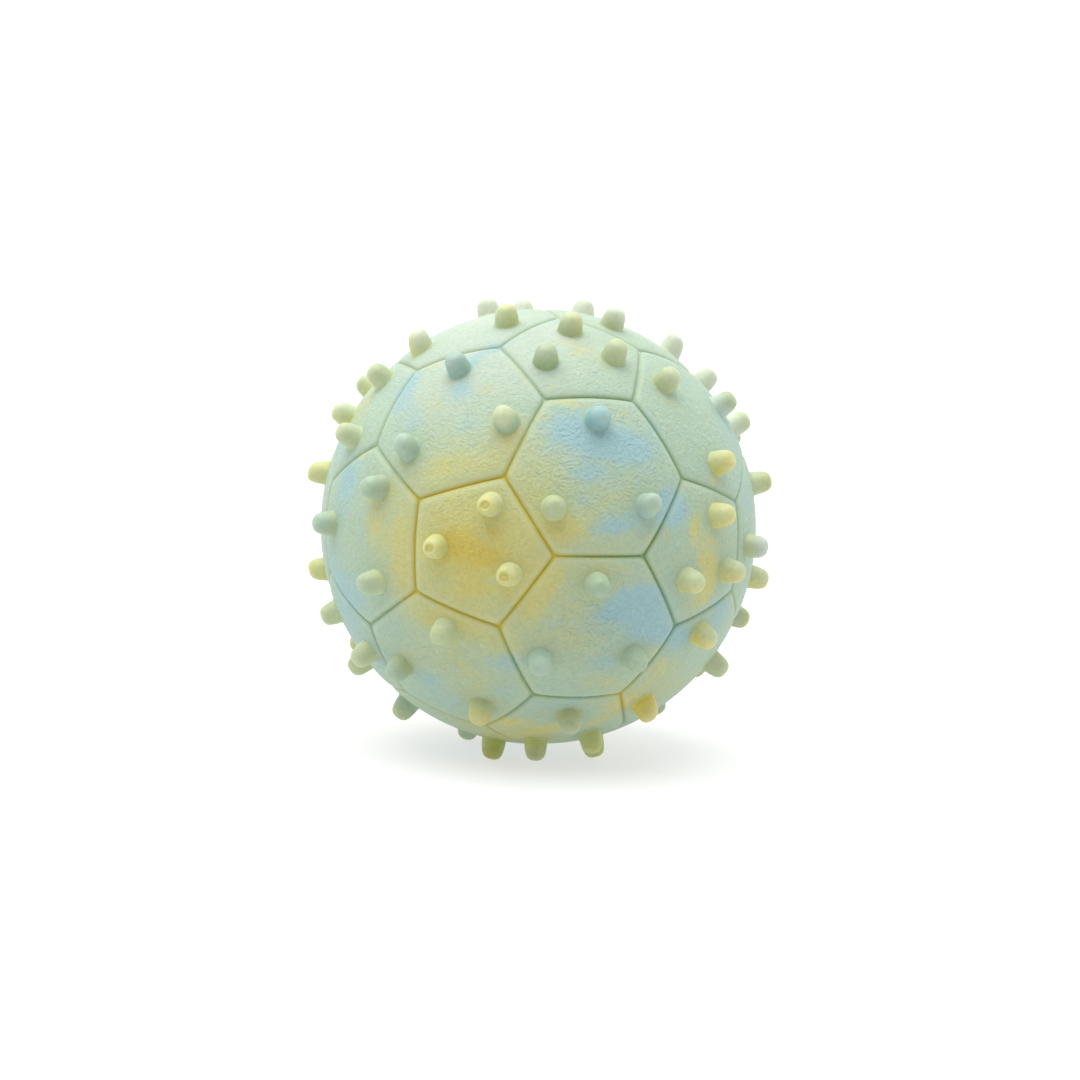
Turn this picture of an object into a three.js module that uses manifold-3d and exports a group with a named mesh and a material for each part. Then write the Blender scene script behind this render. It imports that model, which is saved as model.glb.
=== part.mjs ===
// Spiky dog ball: a one-piece latex skin in a football pattern with three blunt
// spikes on every panel, filled with fibre around a small reed squeaker.
// Millimetres, +Z up. The ball stands on four spike tips at z = 0.

import * as THREE from 'three';
import { ConvexHull } from 'three/addons/math/ConvexHull.js';
import { mergeVertices } from 'three/addons/utils/BufferGeometryUtils.js';
import Module from 'manifold-3d';

// ---------------------------------------------------------------- dimensions

// Skin, as distances from the centre of the ball
const R_TIP = 40.0;          // spike tips: the ball is 80 mm over its spikes
const R_CROWN = 36.6;        // middle of a panel
const R_SEAM = 36.1;         // bottom of the groove between two panels
const R_INNER = 34.4;        // inside of the skin
const SPIKE_BASE_R = 2.25;   // spike radius where it leaves the panel
const SPIKE_SHOULDER = [1.45, 39.4];  // radius and height where the tip rounds off
const SPIKE_TIP_R = 0.62;    // radius of the blunt end
const SPIKE_SIDES = 10;
const SEAM_STEPS = 7;        // segments along one seam
const LIP_DEG = 0.95;        // from the bottom of a groove to the panel's lip, 0.6 mm
const LATTICE_DEG = 7.4;     // spacing of the points inside a panel

// The way the ball lies: a seam between two hexagons is at the bottom
const TURN_DEG = 15.827;     // turn about the vertical axis

// Spikes: for each panel, [degrees from the panel's centre, degrees around it,
// counted from the panel's lowest-numbered corner].
// Hexagons carry them towards alternate sides, pentagons one towards a corner
// and two towards sides.
const SPIKES = {
  0: [[13.2, 211.1], [14.2, 333.4], [14.3, 90.3]],
  1: [[14.9, 336.2], [14.7, 86.5], [13.8, 207.9]],
  2: [[12.5, 72.7], [9.8, 177.0], [10.6, 331.9]],
  3: [[10.7, 150.3], [9.9, 245.1], [9.2, 45.2]],
  4: [[13.8, 266.2], [15.1, 33.8], [12.2, 141.6]],
  5: [[15.6, 341.7], [15.6, 81.4], [14.8, 215.7]],
  6: [[14.2, 270.2], [15.6, 35.7], [13.3, 141.1]],
  7: [[13.8, 272.5], [14.0, 34.1], [14.3, 152.0]],
  8: [[9.9, 204.8], [9.7, 329.4], [10.7, 118.8]],
  9: [[8.9, 216.2], [10.1, 330.4], [9.1, 112.1]],
  10: [[13.6, 203.4], [13.4, 337.1], [15.3, 89.8]],
  11: [[14.4, 332.0], [12.6, 87.3], [14.4, 222.8]],
  12: [[14.3, 330.0], [14.4, 96.4], [14.3, 210.0]],
  13: [[15.1, 264.6], [14.3, 30.0], [14.3, 150.0]],
  14: [[15.5, 280.8], [14.6, 24.5], [14.6, 146.2]],
  15: [[15.6, 334.4], [14.9, 83.3], [14.3, 210.0]],
  16: [[11.5, 207.3], [11.6, 334.6], [10.2, 116.9]],
  17: [[10.8, 216.0], [11.3, 328.7], [8.0, 117.5]],
  18: [[7.8, 219.9], [10.4, 334.8], [9.8, 99.4]],
  19: [[10.1, 352.7], [10.0, 108.0], [10.5, 259.9]],
  20: [[14.4, 317.2], [14.3, 90.0], [14.2, 218.1]],
  21: [[14.3, 210.0], [14.3, 330.0], [14.3, 90.0]],
  22: [[10.8, 216.0], [10.0, 324.0], [10.0, 108.0]],
  23: [[14.3, 270.0], [11.3, 30.9], [14.3, 150.0]],
  24: [[14.3, 270.0], [14.3, 30.0], [14.3, 150.0]],
  25: [[11.4, 326.1], [14.3, 90.0], [14.3, 210.0]],
  26: [[14.3, 210.0], [14.3, 330.0], [14.3, 90.0]],
  27: [[10.7, 357.4], [10.0, 108.0], [10.0, 252.0]],
  28: [[10.8, 216.0], [10.0, 324.0], [10.0, 108.0]],
  29: [[10.8, 216.0], [10.0, 324.0], [10.0, 108.0]],
  30: [[14.3, 270.0], [14.3, 30.0], [14.3, 150.0]],
  31: [[14.3, 210.0], [14.3, 330.0], [14.3, 90.0]],
};

// Filling hole in the middle of a back hexagon, and the plug that closes it
const HOLE_PANEL = 30;
const HOLE_R = 4.6;
const HOLE_SIDES = 24;
const INNER_RINGS = 12;
const PLUG_STEM_R = 4.2;
const PLUG_HEAD_R = 6.2;
const PLUG_FLANGE_R = 6.0;
const PLUG_HEAD = [36.95, 37.7];     // underside and top, from the ball's centre
const PLUG_FLANGE = [32.5, 33.3];    // inner and outer side of the locking flange

// Filling: a wad with a pocket for the squeaker and a way in from the hole
const FILL_R = 33.3;
const POCKET_R = 16.4;
const POCKET_Z = [-14.0, 13.0];      // heights are from the centre of the ball
const WAY_IN_R = 6.8;

// Squeaker: a stiff cup, a soft cap that slides down over it, and a reed
const CUP_R = 14.0, CUP_WALL = 1.2, CUP_FLOOR = 1.5, CUP_Z = [-10.0, -2.8];
const CUP_BORE_R = 3.6;
const DOME_R = 15.6, DOME_INNER_R = 14.5, DOME_SKIRT_Z = -4.8;
const DOME_SHOULDER_Z = 5.0, DOME_TOP_Z = 12.0, DOME_WALL = 1.1;
const BARREL_R = 3.2, BARREL_BORE_R = 2.1, BARREL_Z = [-12.5, -2.5];
const BARREL_FLANGE_R = 4.8, BARREL_FLANGE_Z = [-11.4, -10.35];
const WEDGE_R = 1.75, WEDGE_FLAT_Y = -0.75, WEDGE_Z = [-11.5, -4.0];
const TONGUE = [2.4, 0.3, 7.0], TONGUE_TOP_Z = -4.0;

// ---------------------------------------------------------------- the pattern

const PHI = (1 + Math.sqrt(5)) / 2;
const DEG = Math.PI / 180;
const Z_AXIS = new THREE.Vector3(0, 0, 1);

// Corners of the football pattern on a unit sphere, sorted so that the panel
// numbers above stay the same, and the panels as rings of corners.
function footballPattern() {
  const corners = [];
  for (const [a, b, c] of [[0, 1, 3 * PHI], [1, 2 + PHI, 2 * PHI], [PHI, 2, 2 * PHI + 1]]) {
    for (const sa of a === 0 ? [1] : [1, -1]) for (const sb of [1, -1]) for (const sc of [1, -1]) {
      const t = [sa * a, sb * b, sc * c];
      for (let k = 0; k < 3; k++) corners.push([t[k % 3], t[(k + 1) % 3], t[(k + 2) % 3]]);
    }
  }
  const len = Math.hypot(...corners[0]);
  const pts = corners.map((c) => c.map((x) => x / len));
  pts.sort((p, q) => {
    for (let k = 0; k < 3; k++) {
      const d = Math.round((p[k] - q[k]) * 1e6);
      if (d !== 0) return d;
    }
    return 0;
  });
  const V = pts.map((c) => new THREE.Vector3(...c));
  const edge = 2 / len * 1.001;
  const near = V.map((v, i) => V.map((w, j) => j).filter((j) => j !== i && v.distanceTo(V[j]) < edge));
  const faces = new Map();
  for (let i = 0; i < V.length; i++) for (const j of near[i]) {
    // walk around the panel that lies to the left of i -> j
    const ring = [i, j];
    for (;;) {
      const a = ring[ring.length - 2], b = ring[ring.length - 1];
      const ref = V[a].clone().sub(V[b]);
      let best = null, bestAngle = Infinity;
      for (const c of near[b]) {
        if (c === a) continue;
        const d = V[c].clone().sub(V[b]);
        let ang = Math.atan2(d.clone().cross(ref).dot(V[b]), d.dot(ref));
        if (ang < 0) ang += 2 * Math.PI;
        if (ang < bestAngle) { bestAngle = ang; best = c; }
      }
      if (best === ring[0]) break;
      ring.push(best);
      if (ring.length > 6) break;
    }
    const key = [...ring].sort((p, q) => p - q).join(',');
    if (ring.length <= 6 && !faces.has(key)) faces.set(key, ring);
  }
  const F = [...faces.values()];
  F.sort((p, q) => {
    const a = [...p].sort((m, n) => m - n), b = [...q].sort((m, n) => m - n);
    for (let k = 0; k < 5; k++) if (a[k] !== b[k]) return a[k] - b[k];
    return 0;
  });
  return { V, F };
}

const { V: CORNERS, F: PANELS } = footballPattern();

// Stand the pattern the way the ball lies
const lie = (v) => new THREE.Vector3(v.z, v.x, v.y).applyAxisAngle(Z_AXIS, TURN_DEG * DEG);
const corner = CORNERS.map(lie);

// Centre direction of a panel and two directions across it
function panelFrame(p) {
  const n = new THREE.Vector3();
  for (const i of PANELS[p]) n.add(corner[i]);
  n.normalize();
  const u = corner[Math.min(...PANELS[p])].clone();
  u.addScaledVector(n, -u.dot(n)).normalize();
  return { n, u, w: n.clone().cross(u) };
}

// Direction at an angle from the centre of a panel, and around it
function panelDirection({ n, u, w }, awayDeg, aroundDeg) {
  const r = awayDeg * DEG, a = aroundDeg * DEG;
  return n.clone().multiplyScalar(Math.cos(r))
    .addScaledVector(u, Math.sin(r) * Math.cos(a))
    .addScaledVector(w, Math.sin(r) * Math.sin(a));
}

// Angle in degrees from a direction to the nearest side of its panel
function sideAngle(p, dir) {
  let least = Infinity;
  const ring = PANELS[p];
  for (let k = 0; k < ring.length; k++) {
    const side = corner[ring[k]].clone().cross(corner[ring[(k + 1) % ring.length]]).normalize();
    if (side.dot(panelFrame(p).n) < 0) side.negate();
    least = Math.min(least, Math.asin(side.dot(dir)) / DEG);
  }
  return least;
}

// ---------------------------------------------------------------- latex skin

function latexSkinGeometry() {
  const points = [];                       // outside of the skin
  const spikeAxes = [];
  for (let p = 0; p < PANELS.length; p++) {
    const f = panelFrame(p);
    for (const [r, a] of SPIKES[p]) spikeAxes.push(panelDirection(f, r, a));
  }

  // spikes: a ring where each leaves the panel, two up the flank, one at the end
  const rings = [
    [SPIKE_BASE_R, Math.sqrt(R_CROWN ** 2 - SPIKE_BASE_R ** 2) - 0.05],
    SPIKE_SHOULDER,
    [SPIKE_TIP_R, Math.sqrt(R_TIP ** 2 - SPIKE_TIP_R ** 2)],
  ];
  for (const axis of spikeAxes) {
    const e1 = Z_AXIS.clone().addScaledVector(axis, -axis.z).normalize();
    const e2 = axis.clone().cross(e1);
    for (const [radius, height] of rings) {
      for (let k = 0; k < SPIKE_SIDES; k++) {
        const t = 2 * Math.PI * k / SPIKE_SIDES;
        points.push(axis.clone().multiplyScalar(height)
          .addScaledVector(e1, radius * Math.cos(t))
          .addScaledVector(e2, radius * Math.sin(t)));
      }
    }
  }

  // grooves: one line of points along each seam
  for (const c of corner) points.push(c.clone().multiplyScalar(R_SEAM));
  const seen = new Set();
  for (const ring of PANELS) for (let k = 0; k < ring.length; k++) {
    const i = ring[k], j = ring[(k + 1) % ring.length];
    const key = Math.min(i, j) + ',' + Math.max(i, j);
    if (seen.has(key)) continue;
    seen.add(key);
    for (let s = 1; s < SEAM_STEPS; s++) {
      points.push(corner[i].clone().lerp(corner[j], s / SEAM_STEPS).normalize().multiplyScalar(R_SEAM));
    }
  }

  // lips: a row of points just inside every side of a panel
  const baseDeg = Math.asin(SPIKE_BASE_R / R_CROWN) / DEG;
  for (let p = 0; p < PANELS.length; p++) {
    const f = panelFrame(p), ring = PANELS[p];
    const axes = SPIKES[p].map(([r, a]) => panelDirection(f, r, a));
    const inset = ring.map((i) => {
      const inward = f.n.clone().addScaledVector(corner[i], -f.n.dot(corner[i])).normalize();
      const step = LIP_DEG * DEG / Math.sin(Math.PI / 2 - Math.PI / ring.length);
      return corner[i].clone().multiplyScalar(Math.cos(step)).addScaledVector(inward, Math.sin(step));
    });
    for (let k = 0; k < ring.length; k++) for (let s = 0; s < SEAM_STEPS; s++) {
      const dir = inset[k].clone().lerp(inset[(k + 1) % ring.length], s / SEAM_STEPS).normalize();
      if (axes.some((q) => q.angleTo(dir) / DEG < baseDeg + 0.5)) continue;
      points.push(dir.multiplyScalar(R_CROWN));
    }
  }

  // filling hole: a ring of points around its mouth
  const hole = panelFrame(HOLE_PANEL);
  const holeAt = (radius, dist, k) => {
    const t = 2 * Math.PI * k / HOLE_SIDES;
    return hole.n.clone().multiplyScalar(Math.sqrt(dist ** 2 - radius ** 2))
      .addScaledVector(hole.u, radius * Math.cos(t)).addScaledVector(hole.w, radius * Math.sin(t));
  };
  const mouth = points.length;
  for (let k = 0; k < HOLE_SIDES; k++) points.push(holeAt(HOLE_R, R_CROWN, k));

  // panels: a triangular lattice of points between the spikes
  const holeDeg = Math.asin(HOLE_R / R_CROWN) / DEG;
  for (let p = 0; p < PANELS.length; p++) {
    const f = panelFrame(p);
    const axes = SPIKES[p].map(([r, a]) => panelDirection(f, r, a));
    for (let row = -5; row <= 5; row++) for (let col = -5; col <= 5; col++) {
      const x = (col + row / 2) * LATTICE_DEG, y = row * LATTICE_DEG * Math.sqrt(3) / 2;
      const r = Math.hypot(x, y);
      if (r > 24) continue;
      const dir = panelDirection(f, r, Math.atan2(y, x) / DEG);
      if (sideAngle(p, dir) < 2.9) continue;
      if (axes.some((s) => s.angleTo(dir) / DEG < baseDeg + 2.0)) continue;
      if (p === HOLE_PANEL && r < holeDeg + 1.6) continue;
      points.push(dir.multiplyScalar(R_CROWN));
    }
  }

  // join neighbouring points over the sphere: the outside is one height over
  // every direction, so the hull of the directions gives the triangles
  const dirs = points.map((q, i) => {
    const d = q.clone().normalize();
    const s = (k) => (Math.sin((i + 1) * 12.9898 + k * 78.233) * 43758.5453) % 1 * 2e-5;
    return new THREE.Vector3(d.x + s(1), d.y + s(2), d.z + s(3)).normalize();
  });
  const number = new Map(dirs.map((d, i) => [d, i]));
  const hull = new ConvexHull().setFromPoints(dirs);
  const inMouth = (i) => i >= mouth && i < mouth + HOLE_SIDES;
  const tris = [];
  for (const face of hull.faces) {
    const loop = [];
    let e = face.edge;
    do { loop.push(number.get(e.head().point)); e = e.next; } while (e !== face.edge);
    for (let k = 1; k + 1 < loop.length; k++) {
      const t = [loop[0], loop[k], loop[k + 1]];
      if (!t.every(inMouth)) tris.push(t);
    }
  }

  // inside of the skin: rings about the axis of the hole, from its inner edge
  const innerStart = points.length;
  const first = Math.asin(HOLE_R / R_INNER);
  for (let q = 0; q < INNER_RINGS; q++) {
    const polar = first + (Math.PI - first) * q / INNER_RINGS;
    for (let k = 0; k < HOLE_SIDES; k++) {
      const t = 2 * Math.PI * k / HOLE_SIDES;
      points.push(hole.n.clone().multiplyScalar(R_INNER * Math.cos(polar))
        .addScaledVector(hole.u, R_INNER * Math.sin(polar) * Math.cos(t))
        .addScaledVector(hole.w, R_INNER * Math.sin(polar) * Math.sin(t)));
    }
  }
  const pole = points.length;
  points.push(hole.n.clone().multiplyScalar(-R_INNER));
  for (let k = 0; k < HOLE_SIDES; k++) {
    const k2 = (k + 1) % HOLE_SIDES;
    tris.push([mouth + k, mouth + k2, innerStart + k2], [mouth + k, innerStart + k2, innerStart + k]);
    for (let q = 0; q + 1 < INNER_RINGS; q++) {
      const a = innerStart + q * HOLE_SIDES + k, b = innerStart + q * HOLE_SIDES + k2;
      const c = a + HOLE_SIDES, d = b + HOLE_SIDES;
      tris.push([a, d, c], [a, b, d]);
    }
    const a = innerStart + (INNER_RINGS - 1) * HOLE_SIDES;
    tris.push([a + k, a + k2, pole]);
  }

  const g = new THREE.BufferGeometry();
  g.setAttribute('position', new THREE.Float32BufferAttribute(points.flatMap((q) => [q.x, q.y, q.z]), 3));
  g.setIndex(tris.flat());
  return g;
}

// ---------------------------------------------------------------- other shapes

const lathe = (profile, sides) => {
  const g = new THREE.LatheGeometry(profile.map(([x, y]) => new THREE.Vector2(x, y)), sides);
  g.rotateX(Math.PI / 2);                  // lathe axis to +Z
  return g;
};

// Points of a profile along a sphere about the ball's centre
const along = (radius, r0, r1, steps) => {
  const out = [];
  for (let k = 0; k <= steps; k++) {
    const r = r0 + (r1 - r0) * k / steps;
    out.push([r, Math.sqrt(radius ** 2 - r ** 2)]);
  }
  return out;
};

function plugGeometry() {
  return lathe([
    ...along(PLUG_FLANGE[0], 0, PLUG_FLANGE_R - 0.3, 3),
    [PLUG_FLANGE_R, Math.sqrt(PLUG_FLANGE[0] ** 2 - PLUG_FLANGE_R ** 2) + 0.35],
    ...along(PLUG_FLANGE[1], PLUG_FLANGE_R - 0.25, PLUG_STEM_R, 1),
    ...along(PLUG_HEAD[0], PLUG_STEM_R, PLUG_HEAD_R - 0.1, 1),
    [PLUG_HEAD_R, Math.sqrt(PLUG_HEAD[0] ** 2 - PLUG_HEAD_R ** 2) + 0.3],
    ...along(PLUG_HEAD[1], PLUG_HEAD_R - 0.6, 0, 3),
  ], HOLE_SIDES);
}

function domeGeometry() {
  const arc = (rx, z0, z1, steps) => {
    const out = [];
    for (let k = 0; k <= steps; k++) {
      const t = Math.PI / 2 * k / steps;
      out.push([k === steps ? 0 : rx * Math.cos(t), z0 + (z1 - z0) * Math.sin(t)]);
    }
    return out;
  };
  return lathe([
    ...arc(DOME_INNER_R, DOME_SHOULDER_Z - 0.4, DOME_TOP_Z - DOME_WALL, 5).reverse(),
    [DOME_INNER_R, DOME_SKIRT_Z], [DOME_R, DOME_SKIRT_Z],
    ...arc(DOME_R, DOME_SHOULDER_Z, DOME_TOP_Z, 5),
  ], 24);
}

const cupGeometry = () => lathe([
  [CUP_BORE_R, CUP_Z[0]], [CUP_R, CUP_Z[0]], [CUP_R, CUP_Z[1]], [CUP_R - CUP_WALL, CUP_Z[1]],
  [CUP_R - CUP_WALL, CUP_Z[0] + CUP_FLOOR], [CUP_BORE_R, CUP_Z[0] + CUP_FLOOR], [CUP_BORE_R, CUP_Z[0]],
], 24);

const barrelGeometry = () => lathe([
  [BARREL_BORE_R, BARREL_Z[0]], [BARREL_R, BARREL_Z[0]], [BARREL_R, BARREL_FLANGE_Z[0]],
  [BARREL_FLANGE_R, BARREL_FLANGE_Z[0]], [BARREL_FLANGE_R, BARREL_FLANGE_Z[1]],
  [BARREL_R, BARREL_FLANGE_Z[1]], [BARREL_R, BARREL_Z[1]], [BARREL_BORE_R, BARREL_Z[1]],
  [BARREL_BORE_R, BARREL_Z[0]],
], 20);

function wedgeGeometry() {
  const half = Math.acos(-WEDGE_FLAT_Y / WEDGE_R);
  const shape = new THREE.Shape();
  for (let k = 0; k <= 8; k++) {
    const t = -Math.PI / 2 - half + 2 * half * k / 8;
    const x = WEDGE_R * Math.cos(t), y = WEDGE_R * Math.sin(t);
    if (k === 0) shape.moveTo(x, y); else shape.lineTo(x, y);
  }
  shape.closePath();
  const g = new THREE.ExtrudeGeometry(shape, { depth: WEDGE_Z[1] - WEDGE_Z[0], bevelEnabled: false });
  g.translate(0, 0, WEDGE_Z[0]);
  return g;
}

function tongueGeometry() {
  const g = new THREE.BoxGeometry(...TONGUE);
  g.translate(0, 0, TONGUE_TOP_Z - TONGUE[2] / 2);
  return g;
}

// ---------------------------------------------------------------- cutting

const wasm = await Module();
wasm.setup();

const solid = (geometry) => {
  const g = geometry.clone();
  g.deleteAttribute('normal');
  g.deleteAttribute('uv');
  const m = mergeVertices(g, 1e-4);
  return new wasm.Manifold(new wasm.Mesh({
    numProp: 3,
    vertProperties: new Float32Array(m.attributes.position.array),
    triVerts: new Uint32Array(m.index.array),
  }));
};

const surface = (manifold) => {
  const mesh = manifold.getMesh();
  const g = new THREE.BufferGeometry();
  g.setAttribute('position', new THREE.Float32BufferAttribute(mesh.vertProperties, 3));
  g.setIndex([...mesh.triVerts]);
  return g;
};

const towards = (geometry, dir) => geometry.applyQuaternion(
  new THREE.Quaternion().setFromUnitVectors(Z_AXIS, dir));

function fillingGeometry() {
  const wad = new THREE.SphereGeometry(FILL_R, 24, 16);
  const pocket = new THREE.CylinderGeometry(POCKET_R, POCKET_R, POCKET_Z[1] - POCKET_Z[0], 24);
  pocket.rotateX(Math.PI / 2);
  pocket.translate(0, 0, (POCKET_Z[0] + POCKET_Z[1]) / 2);
  const wayIn = new THREE.CylinderGeometry(WAY_IN_R, WAY_IN_R, 30, 16);
  wayIn.rotateX(Math.PI / 2);
  wayIn.translate(0, 0, 24);
  towards(wayIn, panelFrame(HOLE_PANEL).n);
  return surface(solid(wad).subtract(solid(pocket)).subtract(solid(wayIn)));
}

// ---------------------------------------------------------------- assembly

const material = (color, roughness) => new THREE.MeshStandardMaterial({ color, roughness, metalness: 0 });

const ball = new THREE.Group();            // origin at the centre of the ball
const add = (name, geometry, mat) => {
  geometry.computeVertexNormals();
  const mesh = new THREE.Mesh(geometry, mat);
  mesh.name = name;
  ball.add(mesh);
  return mesh;
};

const skin = add('latex_skin', latexSkinGeometry(), material(0xc3cfa8, 0.72));
add('fill_hole_plug', towards(plugGeometry(), panelFrame(HOLE_PANEL).n), material(0xbfd0b2, 0.75));
add('fibre_filling', fillingGeometry(), material(0xf0efe8, 0.95));
add('squeaker_base', cupGeometry(), material(0xeceae2, 0.5));
add('squeaker_dome', domeGeometry(), material(0xf4f2ec, 0.45));
add('reed_barrel', barrelGeometry(), material(0xf0f0ee, 0.45));
add('reed_tongue', tongueGeometry(), material(0xd9dcdc, 0.3));
add('reed_wedge', wedgeGeometry(), material(0xf0f0ee, 0.45));

// Stand the ball on its lowest spikes, centred over the origin
skin.geometry.computeBoundingBox();
const { min, max } = skin.geometry.boundingBox;
ball.position.set(-(min.x + max.x) / 2, -(min.y + max.y) / 2, -min.z);

const model = new THREE.Group();
model.add(ball);

export default model;
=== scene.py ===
import math

import bpy
import numpy as np
from mathutils import Matrix, Vector, noise
from mathutils.geometry import delaunay_2d_cdt


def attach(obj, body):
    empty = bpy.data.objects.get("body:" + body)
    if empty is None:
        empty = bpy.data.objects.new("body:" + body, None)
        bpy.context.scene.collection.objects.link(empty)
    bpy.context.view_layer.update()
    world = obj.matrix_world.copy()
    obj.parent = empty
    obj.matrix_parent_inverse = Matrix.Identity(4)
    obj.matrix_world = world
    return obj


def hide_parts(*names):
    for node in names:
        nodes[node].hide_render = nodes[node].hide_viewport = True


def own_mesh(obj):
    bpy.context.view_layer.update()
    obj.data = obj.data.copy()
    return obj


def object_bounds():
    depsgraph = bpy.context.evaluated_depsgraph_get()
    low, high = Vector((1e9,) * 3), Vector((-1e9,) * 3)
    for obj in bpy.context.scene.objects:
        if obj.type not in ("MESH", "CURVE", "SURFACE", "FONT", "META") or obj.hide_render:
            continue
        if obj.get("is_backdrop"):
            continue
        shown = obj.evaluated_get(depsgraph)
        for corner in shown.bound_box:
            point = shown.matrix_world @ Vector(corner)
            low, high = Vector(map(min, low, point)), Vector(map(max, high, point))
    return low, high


# Spiky dog ball: the fine latex skin with its panels, grooves and spikes, the
# plug of its filling hole, the fibre inside and the squeaker's small parts.

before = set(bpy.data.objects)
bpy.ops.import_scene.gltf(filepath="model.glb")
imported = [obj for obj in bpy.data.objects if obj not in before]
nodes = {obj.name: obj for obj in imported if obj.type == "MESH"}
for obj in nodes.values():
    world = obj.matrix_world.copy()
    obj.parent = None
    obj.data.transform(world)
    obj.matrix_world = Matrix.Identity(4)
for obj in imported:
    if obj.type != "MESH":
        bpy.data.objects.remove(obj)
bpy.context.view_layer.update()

# ------------------------------------------------------------------ dimensions
# millimetres, from the centre of the ball

CENTRE = np.array((-0.0898, 0.0755, 38.1622))   # of the ball, in the part's frame
R_CROWN = 36.6
R_INNER = 34.4
R_TIP = 40.0
TURN_DEG = 15.827

SEAM_STEPS = 27
ROWS = (0.11, 0.24, 0.40, 0.62, 0.92, 1.32)      # rows of points beside a seam
# depth of the surface below the crown, by distance from the seam
GROOVE_AT = (0.0, 0.11, 0.24, 0.40, 0.62, 0.92, 1.32, 1.85, 2.5)
GROOVE_DEPTH = (0.70, 0.52, 0.370, 0.275, 0.180, 0.100, 0.042, 0.010, 0.0)
CORNER_SOFT = 0.22
LATTICE = 0.80

SPIKE_SIDES = 24
SPIKE_FOOT = 2.28                                # outer edge of the fillet at the base
# share of the fillet and rise over the panel, then radius and distance from the centre
SPIKE_FILLET = ((0.50, 0.035), (0.18, 0.11), (0.0, 0.26))
SPIKE_NECK = 2.025
SPIKE_RINGS = ((1.99, 37.25), (1.945, 37.68), (1.885, 38.10), (1.81, 38.52), (1.715, 38.88),
               (1.59, 39.20), (1.42, 39.48), (1.20, 39.70), (0.92, 39.86), (0.57, 39.958), (0.24, 39.994))
SPIKE_END = 40.0
# the spikes of the front pentagon have a small moulding pit with a dot in it
PIT_RINGS = ((1.99, 37.25), (1.945, 37.68), (1.885, 38.10), (1.81, 38.52), (1.715, 38.88),
             (1.59, 39.20), (1.42, 39.48), (1.21, 39.69), (1.02, 39.79), (0.90, 39.82), (0.81, 39.78),
             (0.72, 39.66), (0.61, 39.55), (0.47, 39.50), (0.34, 39.53), (0.21, 39.61), (0.10, 39.65))
PIT_END = 39.66
# spikes that lean from the radius toward their panel's own axis, as a share of the way
LEAN = {(2, 0): 0.9, (2, 1): 0.9, (2, 2): 0.9, (20, 1): 0.8, (14, 0): 0.8, (14, 1): -0.4, (5, 1): -0.4,
        (15, 0): -0.3, (15, 1): 0.6, (12, 0): -0.3, (20, 0): 0.5, (6, 0): 0.6, (6, 1): 0.5, (1, 1): 0.6,
        (1, 2): 0.6, (10, 1): 0.5, (10, 2): 0.5}
# some panels' spikes came out slimmer, and a few spikes lower
GIRTH = {0: 0.96, 1: 0.965, 2: 0.935, 6: 0.97, 8: 0.95}
LOW = {(14, 2): 0.5, (20, 0): 0.4, (16, 2): 0.4, (20, 1): 0.15}
PIT_PANEL = 2
PIP = (-0.2777, -0.9607, -0.0031)                # a tiny moulding pip on that pentagon, and a second warm seam
WARM_LOW = (0.397, -0.592, -0.701)

SPIKES = {
    0: ((13.2, 211.1), (14.2, 333.4), (14.3, 90.3)), 1: ((14.9, 336.2), (14.7, 86.5), (13.8, 207.9)),
    2: ((12.5, 72.7), (9.8, 177.0), (10.6, 331.9)), 3: ((10.7, 150.3), (9.9, 245.1), (9.2, 45.2)),
    4: ((13.8, 266.2), (15.1, 33.8), (12.2, 141.6)), 5: ((15.6, 341.7), (15.6, 81.4), (14.8, 215.7)),
    6: ((14.2, 270.2), (15.6, 35.7), (13.3, 141.1)), 7: ((13.8, 272.5), (14.0, 34.1), (14.3, 152.0)),
    8: ((9.9, 204.8), (9.7, 329.4), (10.7, 118.8)), 9: ((8.9, 216.2), (10.1, 330.4), (9.1, 112.1)),
    10: ((13.6, 203.4), (13.4, 337.1), (15.3, 89.8)), 11: ((14.4, 332.0), (12.6, 87.3), (14.4, 222.8)),
    12: ((14.3, 330.0), (14.4, 96.4), (14.3, 210.0)), 13: ((15.1, 264.6), (14.3, 30.0), (14.3, 150.0)),
    14: ((15.5, 280.8), (14.6, 24.5), (14.6, 146.2)), 15: ((15.6, 334.4), (14.9, 83.3), (14.3, 210.0)),
    16: ((11.5, 207.3), (11.6, 334.6), (10.2, 116.9)), 17: ((10.8, 216.0), (11.3, 328.7), (8.0, 117.5)),
    18: ((7.8, 219.9), (10.4, 334.8), (9.8, 99.4)), 19: ((10.1, 352.7), (10.0, 108.0), (10.5, 259.9)),
    20: ((14.4, 317.2), (14.3, 90.0), (14.2, 218.1)), 21: ((14.3, 210.0), (14.3, 330.0), (14.3, 90.0)),
    22: ((10.8, 216.0), (10.0, 324.0), (10.0, 108.0)), 23: ((14.3, 270.0), (11.3, 30.9), (14.3, 150.0)),
    24: ((14.3, 270.0), (14.3, 30.0), (14.3, 150.0)), 25: ((11.4, 326.1), (14.3, 90.0), (14.3, 210.0)),
    26: ((14.3, 210.0), (14.3, 330.0), (14.3, 90.0)), 27: ((10.7, 357.4), (10.0, 108.0), (10.0, 252.0)),
    28: ((10.8, 216.0), (10.0, 324.0), (10.0, 108.0)), 29: ((10.8, 216.0), (10.0, 324.0), (10.0, 108.0)),
    30: ((14.3, 270.0), (14.3, 30.0), (14.3, 150.0)), 31: ((14.3, 210.0), (14.3, 330.0), (14.3, 90.0)),
}

HOLE_PANEL = 30
HOLE_R = 4.6
HOLE_SIDES = 48
INNER_RINGS = 30

# ------------------------------------------------------------------ colours
# linear colours of the marbled latex

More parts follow.
